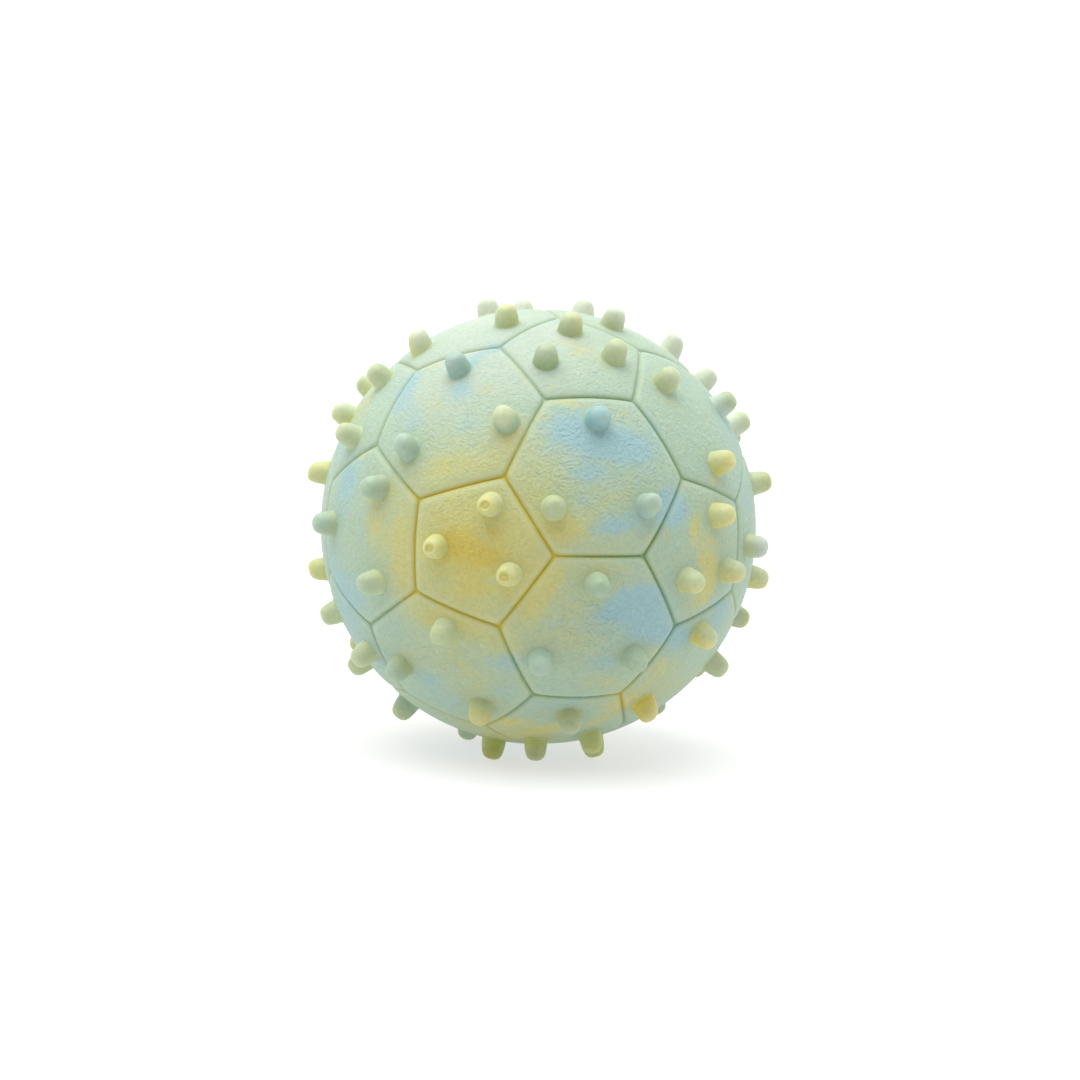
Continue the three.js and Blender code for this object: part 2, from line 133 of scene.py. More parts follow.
MINT = (0.350, 0.475, 0.365)
LIME = (0.455, 0.480, 0.225)
PALE = (0.460, 0.530, 0.445)
YELLOW = (0.515, 0.490, 0.175)
BLUE = (0.285, 0.458, 0.485)
OCHRE = (0.535, 0.425, 0.065)
# of the spikes
SAGE = (0.385, 0.475, 0.315)
SHELL = (0.400, 0.480, 0.305)
FERN = (0.335, 0.455, 0.310)
IVY = (0.318, 0.435, 0.290)
PINE = (0.300, 0.405, 0.260)
LICHEN = (0.385, 0.455, 0.250)
MEADOW = (0.430, 0.505, 0.265)
HAY = (0.465, 0.530, 0.315)
STRAW = (0.535, 0.555, 0.235)
CHALK = (0.510, 0.580, 0.345)
# MILK_HIGHLIGHT and BLOOM_HIGHLIGHT carry painted highlight: the pale ends of spikes lit from above
MILK_HIGHLIGHT = (0.550, 0.605, 0.460)
FROST = (0.480, 0.590, 0.520)
BLOOM_HIGHLIGHT = (0.590, 0.645, 0.495)
AQUA = (0.335, 0.460, 0.410)
LAGOON = (0.280, 0.440, 0.368)
DUSK = (0.238, 0.425, 0.415)
AZURE = (0.268, 0.458, 0.455)
LEMON = (0.510, 0.500, 0.190)
HONEY = (0.545, 0.540, 0.210)
CURD = (0.535, 0.555, 0.295)
PEACH = (0.610, 0.530, 0.175)
WHEAT = (0.575, 0.590, 0.195)
BRASS = (0.700, 0.585, 0.105)
AMBER = (0.665, 0.545, 0.140)
CREAM = (0.535, 0.515, 0.215)
MOSS = (0.430, 0.460, 0.210)
FROND = (0.480, 0.525, 0.180)
KELP = (0.420, 0.480, 0.115)
OLIVE = (0.400, 0.415, 0.090)
BOG = (0.295, 0.400, 0.190)
TEAL = (0.255, 0.400, 0.320)

# marbling: soft patches as (azimuth, elevation, half length, half width, turn, strength) in degrees
PATCHES = {
    LIME: [
        (-104.8, 1.7, 28.7, 26.8, 4, 1.1), (-77.6, -21.9, 10.2, 6.5, 0, 0.2),
        (-108.4, -41.6, 11.6, 10.0, -6, 0.35), (-99.1, -23.3, 6.6, 4.7, 4, 0.35),
        (-42.3, -4.6, 11.0, 13.5, -5, 0.5), (-43.9, -40.4, 16.7, 15.7, -15, 0.4),
        (-66.2, 60.8, 10.7, 11.0, -48, 0.2), (-145.8, 57.1, 10.5, 14.1, 74, 0.12),
        (-98.5, 31.8, 3.5, 3.9, 3, 0.45),
    ],
    YELLOW: [
        (-126.9, 36.9, 4.7, 3.9, 5, 0.4), (-109.0, 42.1, 6.0, 3.1, -7, 0.4),
        (-113.4, 21.8, 11.2, 3.7, 12, 0.55), (-99.5, 28.5, 3.0, 5.9, 3, 0.6),
        (-167.0, 34.1, 9.5, 9.3, 1, 0.35), (-165.2, 27.2, 10.0, 10.1, 7, 0.12),
        (-148.7, 55.0, 5.7, 7.7, 68, 0.14), (-97.4, 76.7, 6.8, 11.7, -10, 0.2),
        (-136.1, 4.4, 3.9, 8.1, 7, 0.7), (-126.2, -3.0, 5.2, 12.8, 6, 0.75),
        (-133.8, 12.8, 5.1, 3.1, 6, 0.55), (-154.6, -4.6, 6.2, 5.9, 8, 0.35),
        (-105.2, 1.0, 15.7, 14.0, 4, 1.2), (-72.1, 22.7, 3.4, 1.0, 10, 0.6),
        (-65.7, 20.7, 2.2, 4.6, 0, 0.35), (-82.8, 22.3, 3.7, 2.6, 2, 0.25),
        (-88.7, 15.6, 3.4, 4.0, 2, 0.2), (-80.8, 39.3, 6.0, 1.8, -2, 0.45),
        (-63.2, 34.8, 4.6, 4.2, -28, 0.25), (-84.9, 7.1, 7.4, 3.4, 2, 0.9), (-76.1, 4.1, 7.6, 2.5, 0, 0.2),
        (-61.1, 4.0, 3.3, 2.1, 25, 0.5), (-89.3, 35.8, 3.0, 2.3, 3, 0.4), (-71.3, 14.7, 6.9, 2.2, 9, 0.45),
        (-71.8, 37.7, 6.3, 1.5, -2, 0.3), (-45.3, 39.9, 3.6, 3.2, -2, 0.35),
        (-36.5, 17.9, 4.6, 2.4, -4, 0.6), (-48.4, 45.4, 4.8, 3.9, -1, 0.25),
        (-74.2, 59.3, 7.2, 4.6, -48, 0.5), (-62.6, 50.7, 4.6, 3.3, -29, 0.3),
        (-88.6, 44.1, 4.5, 2.3, 3, 0.4), (-47.0, 6.4, 1.8, 4.3, -12, 1.0),
        (-43.6, 0.1, 3.1, 4.6, -16, 1.0), (-40.0, -7.3, 3.4, 7.5, -3, 1.0),
        (-55.7, 5.5, 1.5, 2.7, -2, 0.6), (-45.8, -13.5, 4.1, 3.4, 27, 0.4),
        (-89.1, -6.6, 5.9, 5.1, 2, 0.85), (-92.4, -11.4, 3.5, 7.7, 29, 0.7),
        (-64.8, -8.0, 2.7, 1.1, 13, 0.9), (-70.0, -14.4, 3.5, 0.8, -1, 0.8),
        (-69.7, -35.4, 7.4, 3.3, -9, 0.45), (-54.4, -26.0, 2.3, 2.0, 31, 0.5),
        (-71.7, -3.3, 7.9, 1.8, 0, 0.5), (-77.4, -12.3, 4.5, 2.1, 11, 0.2),
        (-109.5, -32.3, 8.6, 3.3, -41, 0.4), (-112.7, -18.8, 11.7, 4.2, -9, 0.9),
        (-129.1, -32.2, 5.3, 7.1, 10, 0.4), (-98.5, -53.9, 6.7, 2.4, 16, 0.9),
        (-81.3, -56.8, 5.8, 2.8, 23, 0.9), (-61.0, -54.3, 4.2, 3.1, 20, 0.6),
        (-60.8, -44.6, 4.0, 4.6, -6, 0.45), (-48.4, -31.6, 6.8, 4.5, 3, 0.5),
        (-53.2, -44.8, 4.7, 8.4, -8, 0.75), (-151.2, -46.9, 5.0, 8.5, -29, 0.2),
        (-119.2, -62.3, 12.3, 10.6, 2, 0.45), (-90.0, -65.8, 11.3, 9.2, 21, 0.75),
        (-165.2, 27.2, 11.0, 6.6, 1, 0.18), (-145.2, -50.1, 11.6, 10.8, -84, 0.2),
        (-138.7, 48.8, 5.0, 2.1, 27, 0.5), (-141.1, 30.9, 5.7, 1.8, 89, 0.4),
        (-148.0, 19.9, 6.5, 1.8, 28, 0.6), (-100.3, 49.7, 5.4, 1.1, -52, 0.5),
        (-83.9, 40.1, 4.5, 0.9, 2, 0.4), (-94.6, 30.6, 6.9, 1.0, 70, 0.5),
        (-110.8, 15.6, 7.8, 1.0, 18, 0.6), (-74.4, 0.2, 10.3, 1.0, 0, 0.45),
    ],
    BLUE: [
        (-141.8, 37.8, 9.8, 5.7, -65, 0.7), (-118.6, 41.2, 5.1, 4.7, 5, 0.8),
        (-121.1, 51.1, 3.5, 3.5, 37, 0.8), (-112.2, 31.8, 4.3, 3.7, 4, 0.5),
        (-129.7, 30.5, 3.9, 4.3, 5, 0.5), (-166.4, 21.0, 4.7, 9.7, 53, 0.7),
        (-113.8, 60.1, 4.6, 3.0, 29, 0.6), (-151.3, 8.3, 6.8, 8.0, 7, 0.62),
        (-145.6, -14.9, 6.9, 6.5, 14, 0.68), (-150.6, 16.2, 5.4, 5.1, 32, 0.6),
        (-102.5, 2.9, 2.5, 1.7, 4, 0.5), (-104.9, 4.9, 2.0, 1.2, 33, 0.3),
        (-100.7, -7.0, 1.8, 1.5, 4, 0.6), (-81.2, 33.5, 5.9, 4.0, -12, 0.45),
        (-72.5, 29.0, 12.9, 5.0, -10, 0.72), (-76.9, 20.2, 4.6, 2.3, 1, 0.6),
        (-61.1, 26.1, 4.6, 3.8, -1, 0.5), (-74.9, 28.7, 13.9, 9.9, -7, 0.55),
        (-69.4, 8.0, 8.0, 3.2, 11, 0.9), (-55.5, 13.0, 2.9, 4.9, -23, 0.9),
        (-79.7, 13.9, 5.5, 2.5, 1, 0.35), (-14.9, 33.0, 11.0, 12.0, -1, 0.5),
        (-44.2, 24.8, 6.9, 5.5, -53, 0.3), (-73.4, 45.4, 7.9, 2.7, 2, 0.25),
        (-52.8, 10.9, 4.6, 5.2, -36, 1.0), (-48.1, -2.9, 4.3, 3.6, -4, 0.4),
        (-35.6, 1.3, 4.8, 3.6, -5, 0.4), (-69.6, -16.9, 11.5, 6.9, 9, 0.5),
        (-67.9, -10.0, 5.7, 2.7, 14, 0.45), (-62.8, -10.1, 5.9, 3.4, 18, 1.0),
        (-57.6, -16.8, 6.2, 6.4, -3, 1.2), (-68.4, -14.2, 4.7, 2.0, 7, 0.8),
        (-69.4, -28.7, 4.3, 3.3, -2, 0.75), (-86.5, -17.5, 3.5, 2.5, 2, 0.5),
        (-88.2, -26.6, 4.0, 4.3, 2, 0.3), (-131.3, -23.1, 6.1, 4.1, 28, 0.4),
        (-98.0, -30.0, 5.5, 3.6, -2, 0.75), (-86.8, -26.5, 10.0, 4.9, 2, 0.22),
        (-122.6, -45.2, 7.1, 7.6, -4, 0.55), (-125.3, -37.1, 5.0, 3.8, 11, 0.5),
        (-99.7, -39.2, 5.2, 4.7, 6, 0.5), (-79.8, -44.4, 7.7, 2.7, 0, 0.5),
        (-90.5, -43.8, 4.0, 2.6, 4, 0.3), (-48.4, -22.3, 5.1, 5.1, -29, 0.8),
        (-30.4, -16.9, 5.2, 8.0, 22, 0.8), (-35.4, -30.8, 4.2, 9.4, 54, 0.3),
        (-17.7, 12.8, 10.4, 7.7, -5, 0.5), (-10.1, -5.4, 7.0, 9.1, -6, 0.4),
        (-164.0, -29.2, 8.6, 11.4, -6, 0.5), (-151.6, -34.3, 10.5, 10.9, 14, 0.5),
        (-35.2, 46.8, 7.7, 16.7, -63, 0.3), (-160.7, -8.6, 8.9, 11.1, 9, 0.6),
        (-116.5, 56.3, 3.6, 1.9, 27, 0.6), (-144.2, 43.3, 3.8, 2.7, -70, 0.5),
        (-91.5, 42.0, 2.6, 1.1, -54, 0.4), (-1.1, 31.0, 9.6, 10.0, -10, 0.3),
        (-42.9, 1.8, 4.0, 3.5, -4, 0.35), (-42.0, -22.3, 6.1, 3.6, -7, 0.4),
        (-55.3, 34.8, 6.1, 1.8, -69, 0.45), (-38.9, -15.5, 5.4, 2.2, 19, 0.4),
        (-74.4, -41.0, 8.0, 1.7, -1, 0.35), (-152.9, -17.6, 4.6, 7.7, 9, 0.5),
        (-56.6, -31.2, 6.9, 1.3, -47, 0.4),
    ],
    OCHRE: [
        (-117.2, 18.9, 8.2, 2.6, 14, 0.25), (-107.3, 0.3, 8.9, 5.4, 4, 1.0),
        (-111.1, 3.0, 4.8, 3.0, 5, 0.6), (-114.2, -0.3, 4.1, 3.0, 5, 0.5),
        (-101.6, -1.2, 4.5, 2.5, 4, 0.7), (-105.9, -8.9, 6.3, 3.3, 12, 0.75),
        (-100.2, 5.7, 4.5, 2.0, 33, 0.4), (-115.9, 8.0, 4.5, 2.0, 5, 0.3), (-86.1, 6.1, 5.4, 2.2, 2, 0.4),
        (-84.4, -1.4, 6.9, 1.5, 1, 0.3), (-106.8, -14.2, 9.1, 1.9, -14, 0.35),
        (-121.8, -56.5, 9.7, 4.5, -9, 0.45), (-56.1, -39.2, 2.6, 3.7, -6, 0.3),
        (-150.6, -66.4, 7.4, 0.1, -61, 0.25), (-32.7, -68.5, 9.9, 0.2, 57, 0.15),
    ],
    # the PALE patches lie over the top of the ball: painted top light, paler where the overhead light falls
    PALE: [
        (-168.2, 69.2, 15.4, 10.5, 82, 0.5), (-81.3, 65.5, 3.6, 4.5, 4, 0.6),
        (-0.9, 64.5, 10.4, 9.4, 88, 0.35), (-96.1, 63.4, 32.3, 23.5, 7, 0.55),
        (-132.8, 42.5, 26.0, 22.9, -1, 0.3),
    ],
}
# where the grooves take the most painted shade and soaked-in pigment, in the same way
GROOVE_SHADE_AND_STAIN = [
    (-66.6, 0.4, 34, 23.2, -2, 0.85), (-58.0, 29.8, 12.2, 11.5, 0, 0.55),
    (-74.4, 41.3, 12.5, 3.8, -2, 0.45), (-85.8, -38.4, 19.3, 19.5, 2, 0.55),
    (-54.3, -35.6, 14.7, 22.8, -9, 0.5), (-133.9, -23.7, 24.8, 19.3, 13, 0.35),
]
# where the grain stands out more or less
WRINKLED = [(-75.0, 14.0, 15.0, 13.0, 0, 0.42), (-72.0, -20.0, 17.0, 14.0, 0, 1.20), (-115.0, -33.0, 16.0, 12.0, 0, 0.60),
            (-45.0, 25.0, 14.0, 14.0, 0, 0.45), (-105.0, 1.0, 14.0, 14.0, 0, 0.40), (-72.0, 52.0, 12.0, 10.0, 0, 0.35)]

# colours of the spikes: (at the foot, at the end)
# MILK_HIGHLIGHT and BLOOM_HIGHLIGHT, the palest colours here, are painted highlight on spikes lit from above
SPIKE_COLOURS = {
    (0, 0): (FERN, FERN), (0, 1): (SAGE, IVY), (0, 2): (MINT, MINT), (1, 0): (HAY, LICHEN),
    (1, 1): (AQUA, MINT), (1, 2): (DUSK, AZURE), (2, 0): (CURD, HONEY), (2, 1): (HONEY, HONEY),
    (2, 2): (CURD, HONEY), (3, 0): (HAY, HAY), (3, 1): (STRAW, STRAW), (3, 2): (HAY, HAY),
    (4, 0): (MEADOW, LEMON), (4, 1): (HAY, MEADOW), (4, 2): (LICHEN, FERN), (5, 0): (STRAW, HAY),
    (5, 1): (BRASS, PEACH), (5, 2): (HAY, HAY), (6, 0): (MINT, MINT), (6, 1): (FERN, CHALK),
    (6, 2): (LAGOON, AQUA), (7, 0): (MEADOW, HAY), (7, 1): (STRAW, STRAW), (7, 2): (FROST, SHELL),
    (8, 0): (FROND, FROND), (8, 1): (MOSS, LICHEN), (8, 2): (FROND, MOSS), (9, 0): (LICHEN, CHALK),
    (9, 1): (BOG, SHELL), (9, 2): (MEADOW, HAY), (10, 0): (SAGE, MINT), (10, 1): (CHALK, SAGE),
    (10, 2): (SAGE, FERN), (11, 0): (HAY, PALE), (11, 1): (HAY, HAY), (11, 2): (CHALK, LIME),
    (12, 0): (KELP, OLIVE), (12, 1): (FERN, MEADOW), (13, 1): (FROND, FROND), (14, 0): (CHALK, BLOOM_HIGHLIGHT),
    (14, 1): (MEADOW, CHALK), (14, 2): (BLOOM_HIGHLIGHT, BLOOM_HIGHLIGHT), (15, 0): (HAY, BLOOM_HIGHLIGHT), (15, 1): (BLOOM_HIGHLIGHT, MILK_HIGHLIGHT),
    (15, 2): (BLOOM_HIGHLIGHT, BLOOM_HIGHLIGHT), (16, 0): (HAY, HAY), (16, 1): (CHALK, HAY), (16, 2): (CHALK, HAY),
    (17, 1): (SAGE, LIME), (18, 0): (CHALK, MILK_HIGHLIGHT), (18, 1): (CHALK, HAY), (18, 2): (CHALK, HAY),
    (19, 0): (BLOOM_HIGHLIGHT, HAY), (19, 2): (BLOOM_HIGHLIGHT, MILK_HIGHLIGHT), (20, 0): (STRAW, STRAW), (20, 1): (STRAW, STRAW),
    (25, 0): (STRAW, HAY), (27, 0): (BLOOM_HIGHLIGHT, BLOOM_HIGHLIGHT),
}
# spikes with another colour on one side, mostly their lower side: (colour, which way, strength)
BLUSH = {
    (3, 0): (AMBER, (-0.5, 0.0, -1.0), 0.50), (3, 1): (AMBER, (0.9, 0.0, -0.6), 0.52), (3, 2): (BRASS, (0.1, 0.0, -1.0), 0.38),
    (5, 0): (BRASS, (-0.7, 0.0, -1.0), 0.58), (7, 1): (AMBER, (0.4, 0.0, -1.0), 0.50), (11, 1): (BRASS, (0.8, 0.0, -0.6), 0.45),
    (14, 0): (WHEAT, (-0.9, 0.0, -0.4), 0.50), (14, 1): (WHEAT, (1.0, -0.3, -0.3), 0.38), (18, 0): (WHEAT, (0.3, 0.0, -0.9), 0.60),
    (9, 0): (LEMON, (0.9, -0.2, 0.3), 0.38), (4, 0): (BRASS, (-0.6, 0.0, -0.8), 0.20),
}


def chance(*key):
    """A fixed number from 0 to 1 for a key."""
    x = 0.0
    for i, k in enumerate(key):
        x += (k + 1.37) * (12.9898 + 37.719 * i)
    return (math.sin(x) * 43758.5453) % 1.0


# ------------------------------------------------------------------ the pattern

PHI = (1 + math.sqrt(5)) / 2


def unit(v):
    v = np.asarray(v, float)
    return v / np.linalg.norm(v, axis=-1, keepdims=True)


def football():
    """Corners of the football pattern in the part's frame and the panels as rings of corners."""
    pts = []
    for a, b, c in ((0, 1, 3 * PHI), (1, 2 + PHI, 2 * PHI), (PHI, 2, 2 * PHI + 1)):
        for sa in (1,) if a == 0 else (1, -1):
            for sb in (1, -1):
                for sc in (1, -1):
                    t = (sa * a, sb * b, sc * c)
                    pts += [(t[k], t[(k + 1) % 3], t[(k + 2) % 3]) for k in range(3)]
    pts = unit(np.array(pts))
    order = sorted(range(60), key=lambda i: tuple(int(round(x * 1e6)) for x in pts[i]))
    pts = pts[order]
    centres = []
    for s in (1, -1):
        for t in (1, -1):
            for k in range(3):
                centres.append((np.roll((0, s, t * PHI), k), 5))
                centres.append((np.roll((0, s * PHI, t / PHI), k), 6))
    for s in (1, -1):
        for t in (1, -1):
            for q in (1, -1):
                centres.append((np.array((s, t, q), float), 6))
    panels = []
    for c, count in centres:
        near = np.argsort(-(pts @ unit(c)))[:count]
        panels.append(sorted(int(i) for i in near))
    panels.sort()
    t = math.radians(TURN_DEG)
    turn = np.array(((math.cos(t), -math.sin(t), 0), (math.sin(t), math.cos(t), 0), (0, 0, 1)))
    corners = pts[:, (2, 0, 1)] @ turn.T
    rings = []
    for p in panels:
        n = unit(corners[p].mean(0))
        u = corners[p[0]] - n * (corners[p[0]] @ n)
        u = unit(u)
        w = np.cross(n, u)
        around = sorted(p, key=lambda i: math.atan2(corners[i] @ w, corners[i] @ u) % (2 * math.pi))
        rings.append((around, n, u, w))
    return corners, rings


corners, panels = football()


def panel_direction(p, away, around):
    _, n, u, w = panels[p]
    r, a = math.radians(away), math.radians(around)
    return n * math.cos(r) + math.sin(r) * (u * math.cos(a) + w * math.sin(a))


# ------------------------------------------------------------------ fine latex skin

points, seam_of, spike_of, rise_of, faces = [], [], [], [], []


def put(co, seam=9.0, spike=-1, rise=0.0):
    points.append(np.asarray(co, float))
    seam_of.append(seam)
    spike_of.append(spike)
    rise_of.append(rise)
    return len(points) - 1


def depth(d):
    return np.interp(d, GROOVE_AT, GROOVE_DEPTH)


def strip(outer, inner):
    for k in range(len(outer)):
        k2 = (k + 1) % len(outer)
        faces.append((outer[k], outer[k2], inner[k2], inner[k]))


def cap(ring, pole):
    for k in range(len(ring)):
        faces.append((ring[k], ring[(k + 1) % len(ring)], pole))


corner_at = [put(c * (R_CROWN - GROOVE_DEPTH[0]), 0.0) for c in corners]
seams = {}
for ring, *_ in panels:
    for k in range(len(ring)):
        i, j = ring[k], ring[(k + 1) % len(ring)]
        if (j, i) in seams:
            seams[i, j] = seams[j, i][::-1]
        elif (i, j) not in seams:
            mid = [put(unit(corners[i] + (corners[j] - corners[i]) * s / SEAM_STEPS) * (R_CROWN - GROOVE_DEPTH[0]), 0.0)
                   for s in range(1, SEAM_STEPS)]
            seams[i, j] = [corner_at[i]] + mid + [corner_at[j]]

for p, (ring, n, u, w) in enumerate(panels):
    sides = np.array([unit(np.cross(corners[ring[k]], corners[ring[(k + 1) % len(ring)]])) for k in range(len(ring))])

    def seam_distance(d):
        s = R_CROWN * np.arcsin(np.clip(np.atleast_2d(d) @ sides.T, -1, 1))
        soft = -CORNER_SOFT * np.log(np.exp(-s / CORNER_SOFT).sum(1))
        return s.min(1), np.maximum(soft, 0.0)

    axes = [panel_direction(p, r, a) for r, a in SPIKES[p]]
    girth = GIRTH.get(p, 1.0)
    feet = [min(SPIKE_FOOT * girth, float(seam_distance(a)[0][0]) - 0.42) for a in axes]
    blocks = list(zip(axes, feet)) + ([(n, HOLE_R + 0.45)] if p == HOLE_PANEL else [])

    def clear(d, gap):
        ok = np.ones(len(d), bool)
        for axis, foot in blocks:
            ok &= np.arccos(np.clip(d @ axis, -1, 1)) * R_CROWN > foot + gap
        return ok

    ids, flat, edges = [], [], []

    def take(index, direction):
        ids.append(index)
        flat.append((float(direction @ u / (direction @ n)) * R_CROWN, float(direction @ w / (direction @ n)) * R_CROWN))
        return len(ids) - 1

    # the seam around the panel
    loop = []
    for k in range(len(ring)):
        for index in seams[ring[k], ring[(k + 1) % len(ring)]][:-1]:
            loop.append(take(index, unit(points[index])))

    # rows of points down into the groove
    for d in ROWS:
        inset = []
        for k in range(len(ring)):
            c = corners[ring[k]]
            inward = unit(n - c * (n @ c))
            along = corners[ring[(k + 1) % len(ring)]]
            along = unit(along - c * (along @ c))
            half = math.acos(float(inward @ along))
            step = math.asin(math.sin(d / R_CROWN) / math.sin(half))
            inset.append(c * math.cos(step) + inward * math.sin(step))
        row = []
        for k in range(len(ring)):
            a, b = inset[k], inset[(k + 1) % len(ring)]
            row += [unit(a + (b - a) * s / SEAM_STEPS) for s in range(SEAM_STEPS)]
        row = np.array(row)
        ok = clear(row, 0.24)
        near, soft = seam_distance(row)
        at = [take(put(q * (R_CROWN - float(depth(s))), float(s)), q) if good else None for q, s, good in zip(row, soft, ok)]
        for k in range(len(at)):
            if at[k] is not None and at[(k + 1) % len(at)] is not None:
                edges.append((at[k], at[(k + 1) % len(at)]))

    # the foot of each spike, and the edge of the filling hole
    holes = []
    for m, (axis, foot) in enumerate(blocks):
        e1 = unit(np.array((0, 0, 1.0)) - axis * axis[2])
        e2 = np.cross(axis, e1)
        sides_n = SPIKE_SIDES if m < len(axes) else HOLE_SIDES
        turn = 2 * math.pi * np.arange(sides_n) / sides_n
        spread = np.outer(np.cos(turn), e1) + np.outer(np.sin(turn), e2)
        s = foot / R_CROWN
        rim = unit(axis * math.cos(s) + spread * math.sin(s))
        near, soft = seam_distance(rim)
        at = [take(put(q * (R_CROWN - float(depth(d))), float(d)), q) for q, d in zip(rim, soft)]
        edges += [(at[k], at[(k + 1) % sides_n]) for k in range(sides_n)]
        holes.append((set(at), [ids[k] for k in at], axis, spread, foot))

    # the pip: a low button of its own
    if p == PIT_PANEL:
        axis = unit(PIP)
        e1 = unit(np.array((0, 0, 1.0)) - axis * axis[2])
        e2 = np.cross(axis, e1)
        for r, rise in ((0.42, 0.0), (0.30, 0.07), (0.17, 0.15), (0.0, 0.18)):
            for k in range(10 if r else 1):
                t = 2 * math.pi * k / 10
                q = unit(axis + (e1 * math.cos(t) + e2 * math.sin(t)) * r / R_CROWN)
                take(put(q * (R_CROWN + rise), 9.0), q)
        blocks.append((axis, 0.2))

    # even points over the rest of the panel
    span = 24
    grid = []
    for r in range(-span, span + 1):
        for c in range(-span, span + 1):
            x, y = (c + 0.5 * (r % 2)) * LATTICE, r * LATTICE * math.sqrt(0.75)
            jx, jy = chance(p, r, c) - 0.5, chance(p, c, r, 3) - 0.5
            grid.append((x + 0.12 * LATTICE * jx, y + 0.12 * LATTICE * jy))
    grid = np.array(grid) / R_CROWN
    grid = unit(n + np.outer(grid[:, 0], u) + np.outer(grid[:, 1], w))
    near, soft = seam_distance(grid)
    good = (near > ROWS[-1] + 0.45) & clear(grid, 0.48)
    for q, d in zip(grid[good], soft[good]):
        take(put(q * (R_CROWN - float(depth(d))), float(d)), q)

    made = delaunay_2d_cdt([Vector(q) for q in flat], edges, [loop], 1, 1e-8)
    origin = [o[0] for o in made[3]]
    for f in made[2]:
        f = [origin[k] for k in f]
        if any(all(k in inside for k in f) for inside, *_ in holes):
            continue
        faces.append(tuple(ids[k] for k in f))

    # spikes
    for m, (_, rim, axis, spread, foot) in enumerate(holes[:len(axes)]):
        number = p * 3 + m
        lean = LEAN.get((p, m), 0.0) * (n - axis * (n @ axis))
        rings, end = (PIT_RINGS, PIT_END) if p == PIT_PANEL else (SPIKE_RINGS, SPIKE_END)
        last = rim
        base = np.array([np.linalg.norm(points[k]) for k in rim])
        for share, rise in SPIKE_FILLET:
            r = SPIKE_NECK * girth + (foot - SPIKE_NECK * girth) * share
            h = np.sqrt(base ** 2 - r * r) + rise
            new = [put(axis * hk + sp * r, 9.0, number, 0.02 + 0.10 * (1 - share)) for hk, sp in zip(h, spread)]
            strip(last, new)
            last = new
        low = 1 - LOW.get((p, m), 0.0) / (R_TIP - R_CROWN)
        end = R_CROWN + (end - R_CROWN) * low
        for r, h in rings:
            t = (h - R_CROWN) / (R_TIP - R_CROWN)
            r, h = r * girth, R_CROWN + (h - R_CROWN) * low
            new = [put(axis * h + lean * (h - R_CROWN) + sp * r, 9.0, number, max(0.12, min(1.0, t))) for sp in spread]
            strip(last, new)
            last = new
        cap(last, put(axis * end + lean * (end - R_CROWN), 9.0, number, 1.0))

    # filling hole: rounded edge, bore and the inside of the skin
    if p == HOLE_PANEL:
        _, rim, axis, spread, foot = holes[-1]
        last = rim
        for r, h in ((HOLE_R + 0.2, R_CROWN - 0.05), (HOLE_R + 0.05, R_CROWN - 0.18), (HOLE_R, R_CROWN - 0.4),
                     (HOLE_R, R_CROWN - 1.0), (HOLE_R, R_CROWN - 1.6)):
            new = [put(axis * math.sqrt(h * h - r * r) + sp * r) for sp in spread]
            strip(last, new)
            last = new
        first = math.asin(HOLE_R / R_INNER)
        for q in range(INNER_RINGS):
            polar = first + (math.pi - first) * q / INNER_RINGS
            new = [put(R_INNER * (axis * math.cos(polar) + sp * math.sin(polar))) for sp in spread]
            strip(last, new)
            last = new
        cap(last, put(-axis * R_INNER))

points = np.array(points)
seam_of, spike_of, rise_of = np.array(seam_of), np.array(spike_of), np.array(rise_of)


def mesh_object(name, co_mm, polys, smooth=True):
    """A mesh object from millimetres about the ball's centre."""
    mesh = bpy.data.meshes.new(name)
    mesh.from_pydata(((np.asarray(co_mm) + CENTRE) * 0.001).tolist(), [], [tuple(int(i) for i in f) for f in polys])
    mesh.update()
    mesh.polygons.foreach_set("use_smooth", [smooth] * len(mesh.polygons))
    obj = bpy.data.objects.new(name, mesh)
    bpy.context.scene.collection.objects.link(obj)
    return obj


def give(obj, name, kind, values):
    attribute = obj.data.attributes.new(name, kind, "POINT")
    field = {"FLOAT": "value", "FLOAT_VECTOR": "vector", "FLOAT_COLOR": "color"}[kind]
    attribute.data.foreach_set(field, np.asarray(values, np.float32).ravel())


skin = mesh_object("latex_skin_fine", points, faces)
direction = unit(points)


def patch_field(patches):
    total = np.zeros(len(points))
    for az, el, a, b, turn, strength in patches:
        az, el, turn = math.radians(az), math.radians(el), math.radians(turn)
        c = np.array((math.cos(az) * math.cos(el), math.sin(az) * math.cos(el), math.sin(el)))
        east = np.array((-math.sin(az), math.cos(az), 0.0))
        north = np.cross(c, east)
        t1 = east * math.cos(turn) + north * math.sin(turn)
        t2 = np.cross(c, t1)
        angle = np.degrees(np.arccos(np.clip(direction @ c, -1, 1)))
        x, y = direction @ t1, direction @ t2
        r = np.maximum(np.hypot(x, y), 1e-9)
        q = angle * np.hypot(x / r / a, y / r / b)
        total += strength * np.exp(-q ** 2)
    return total


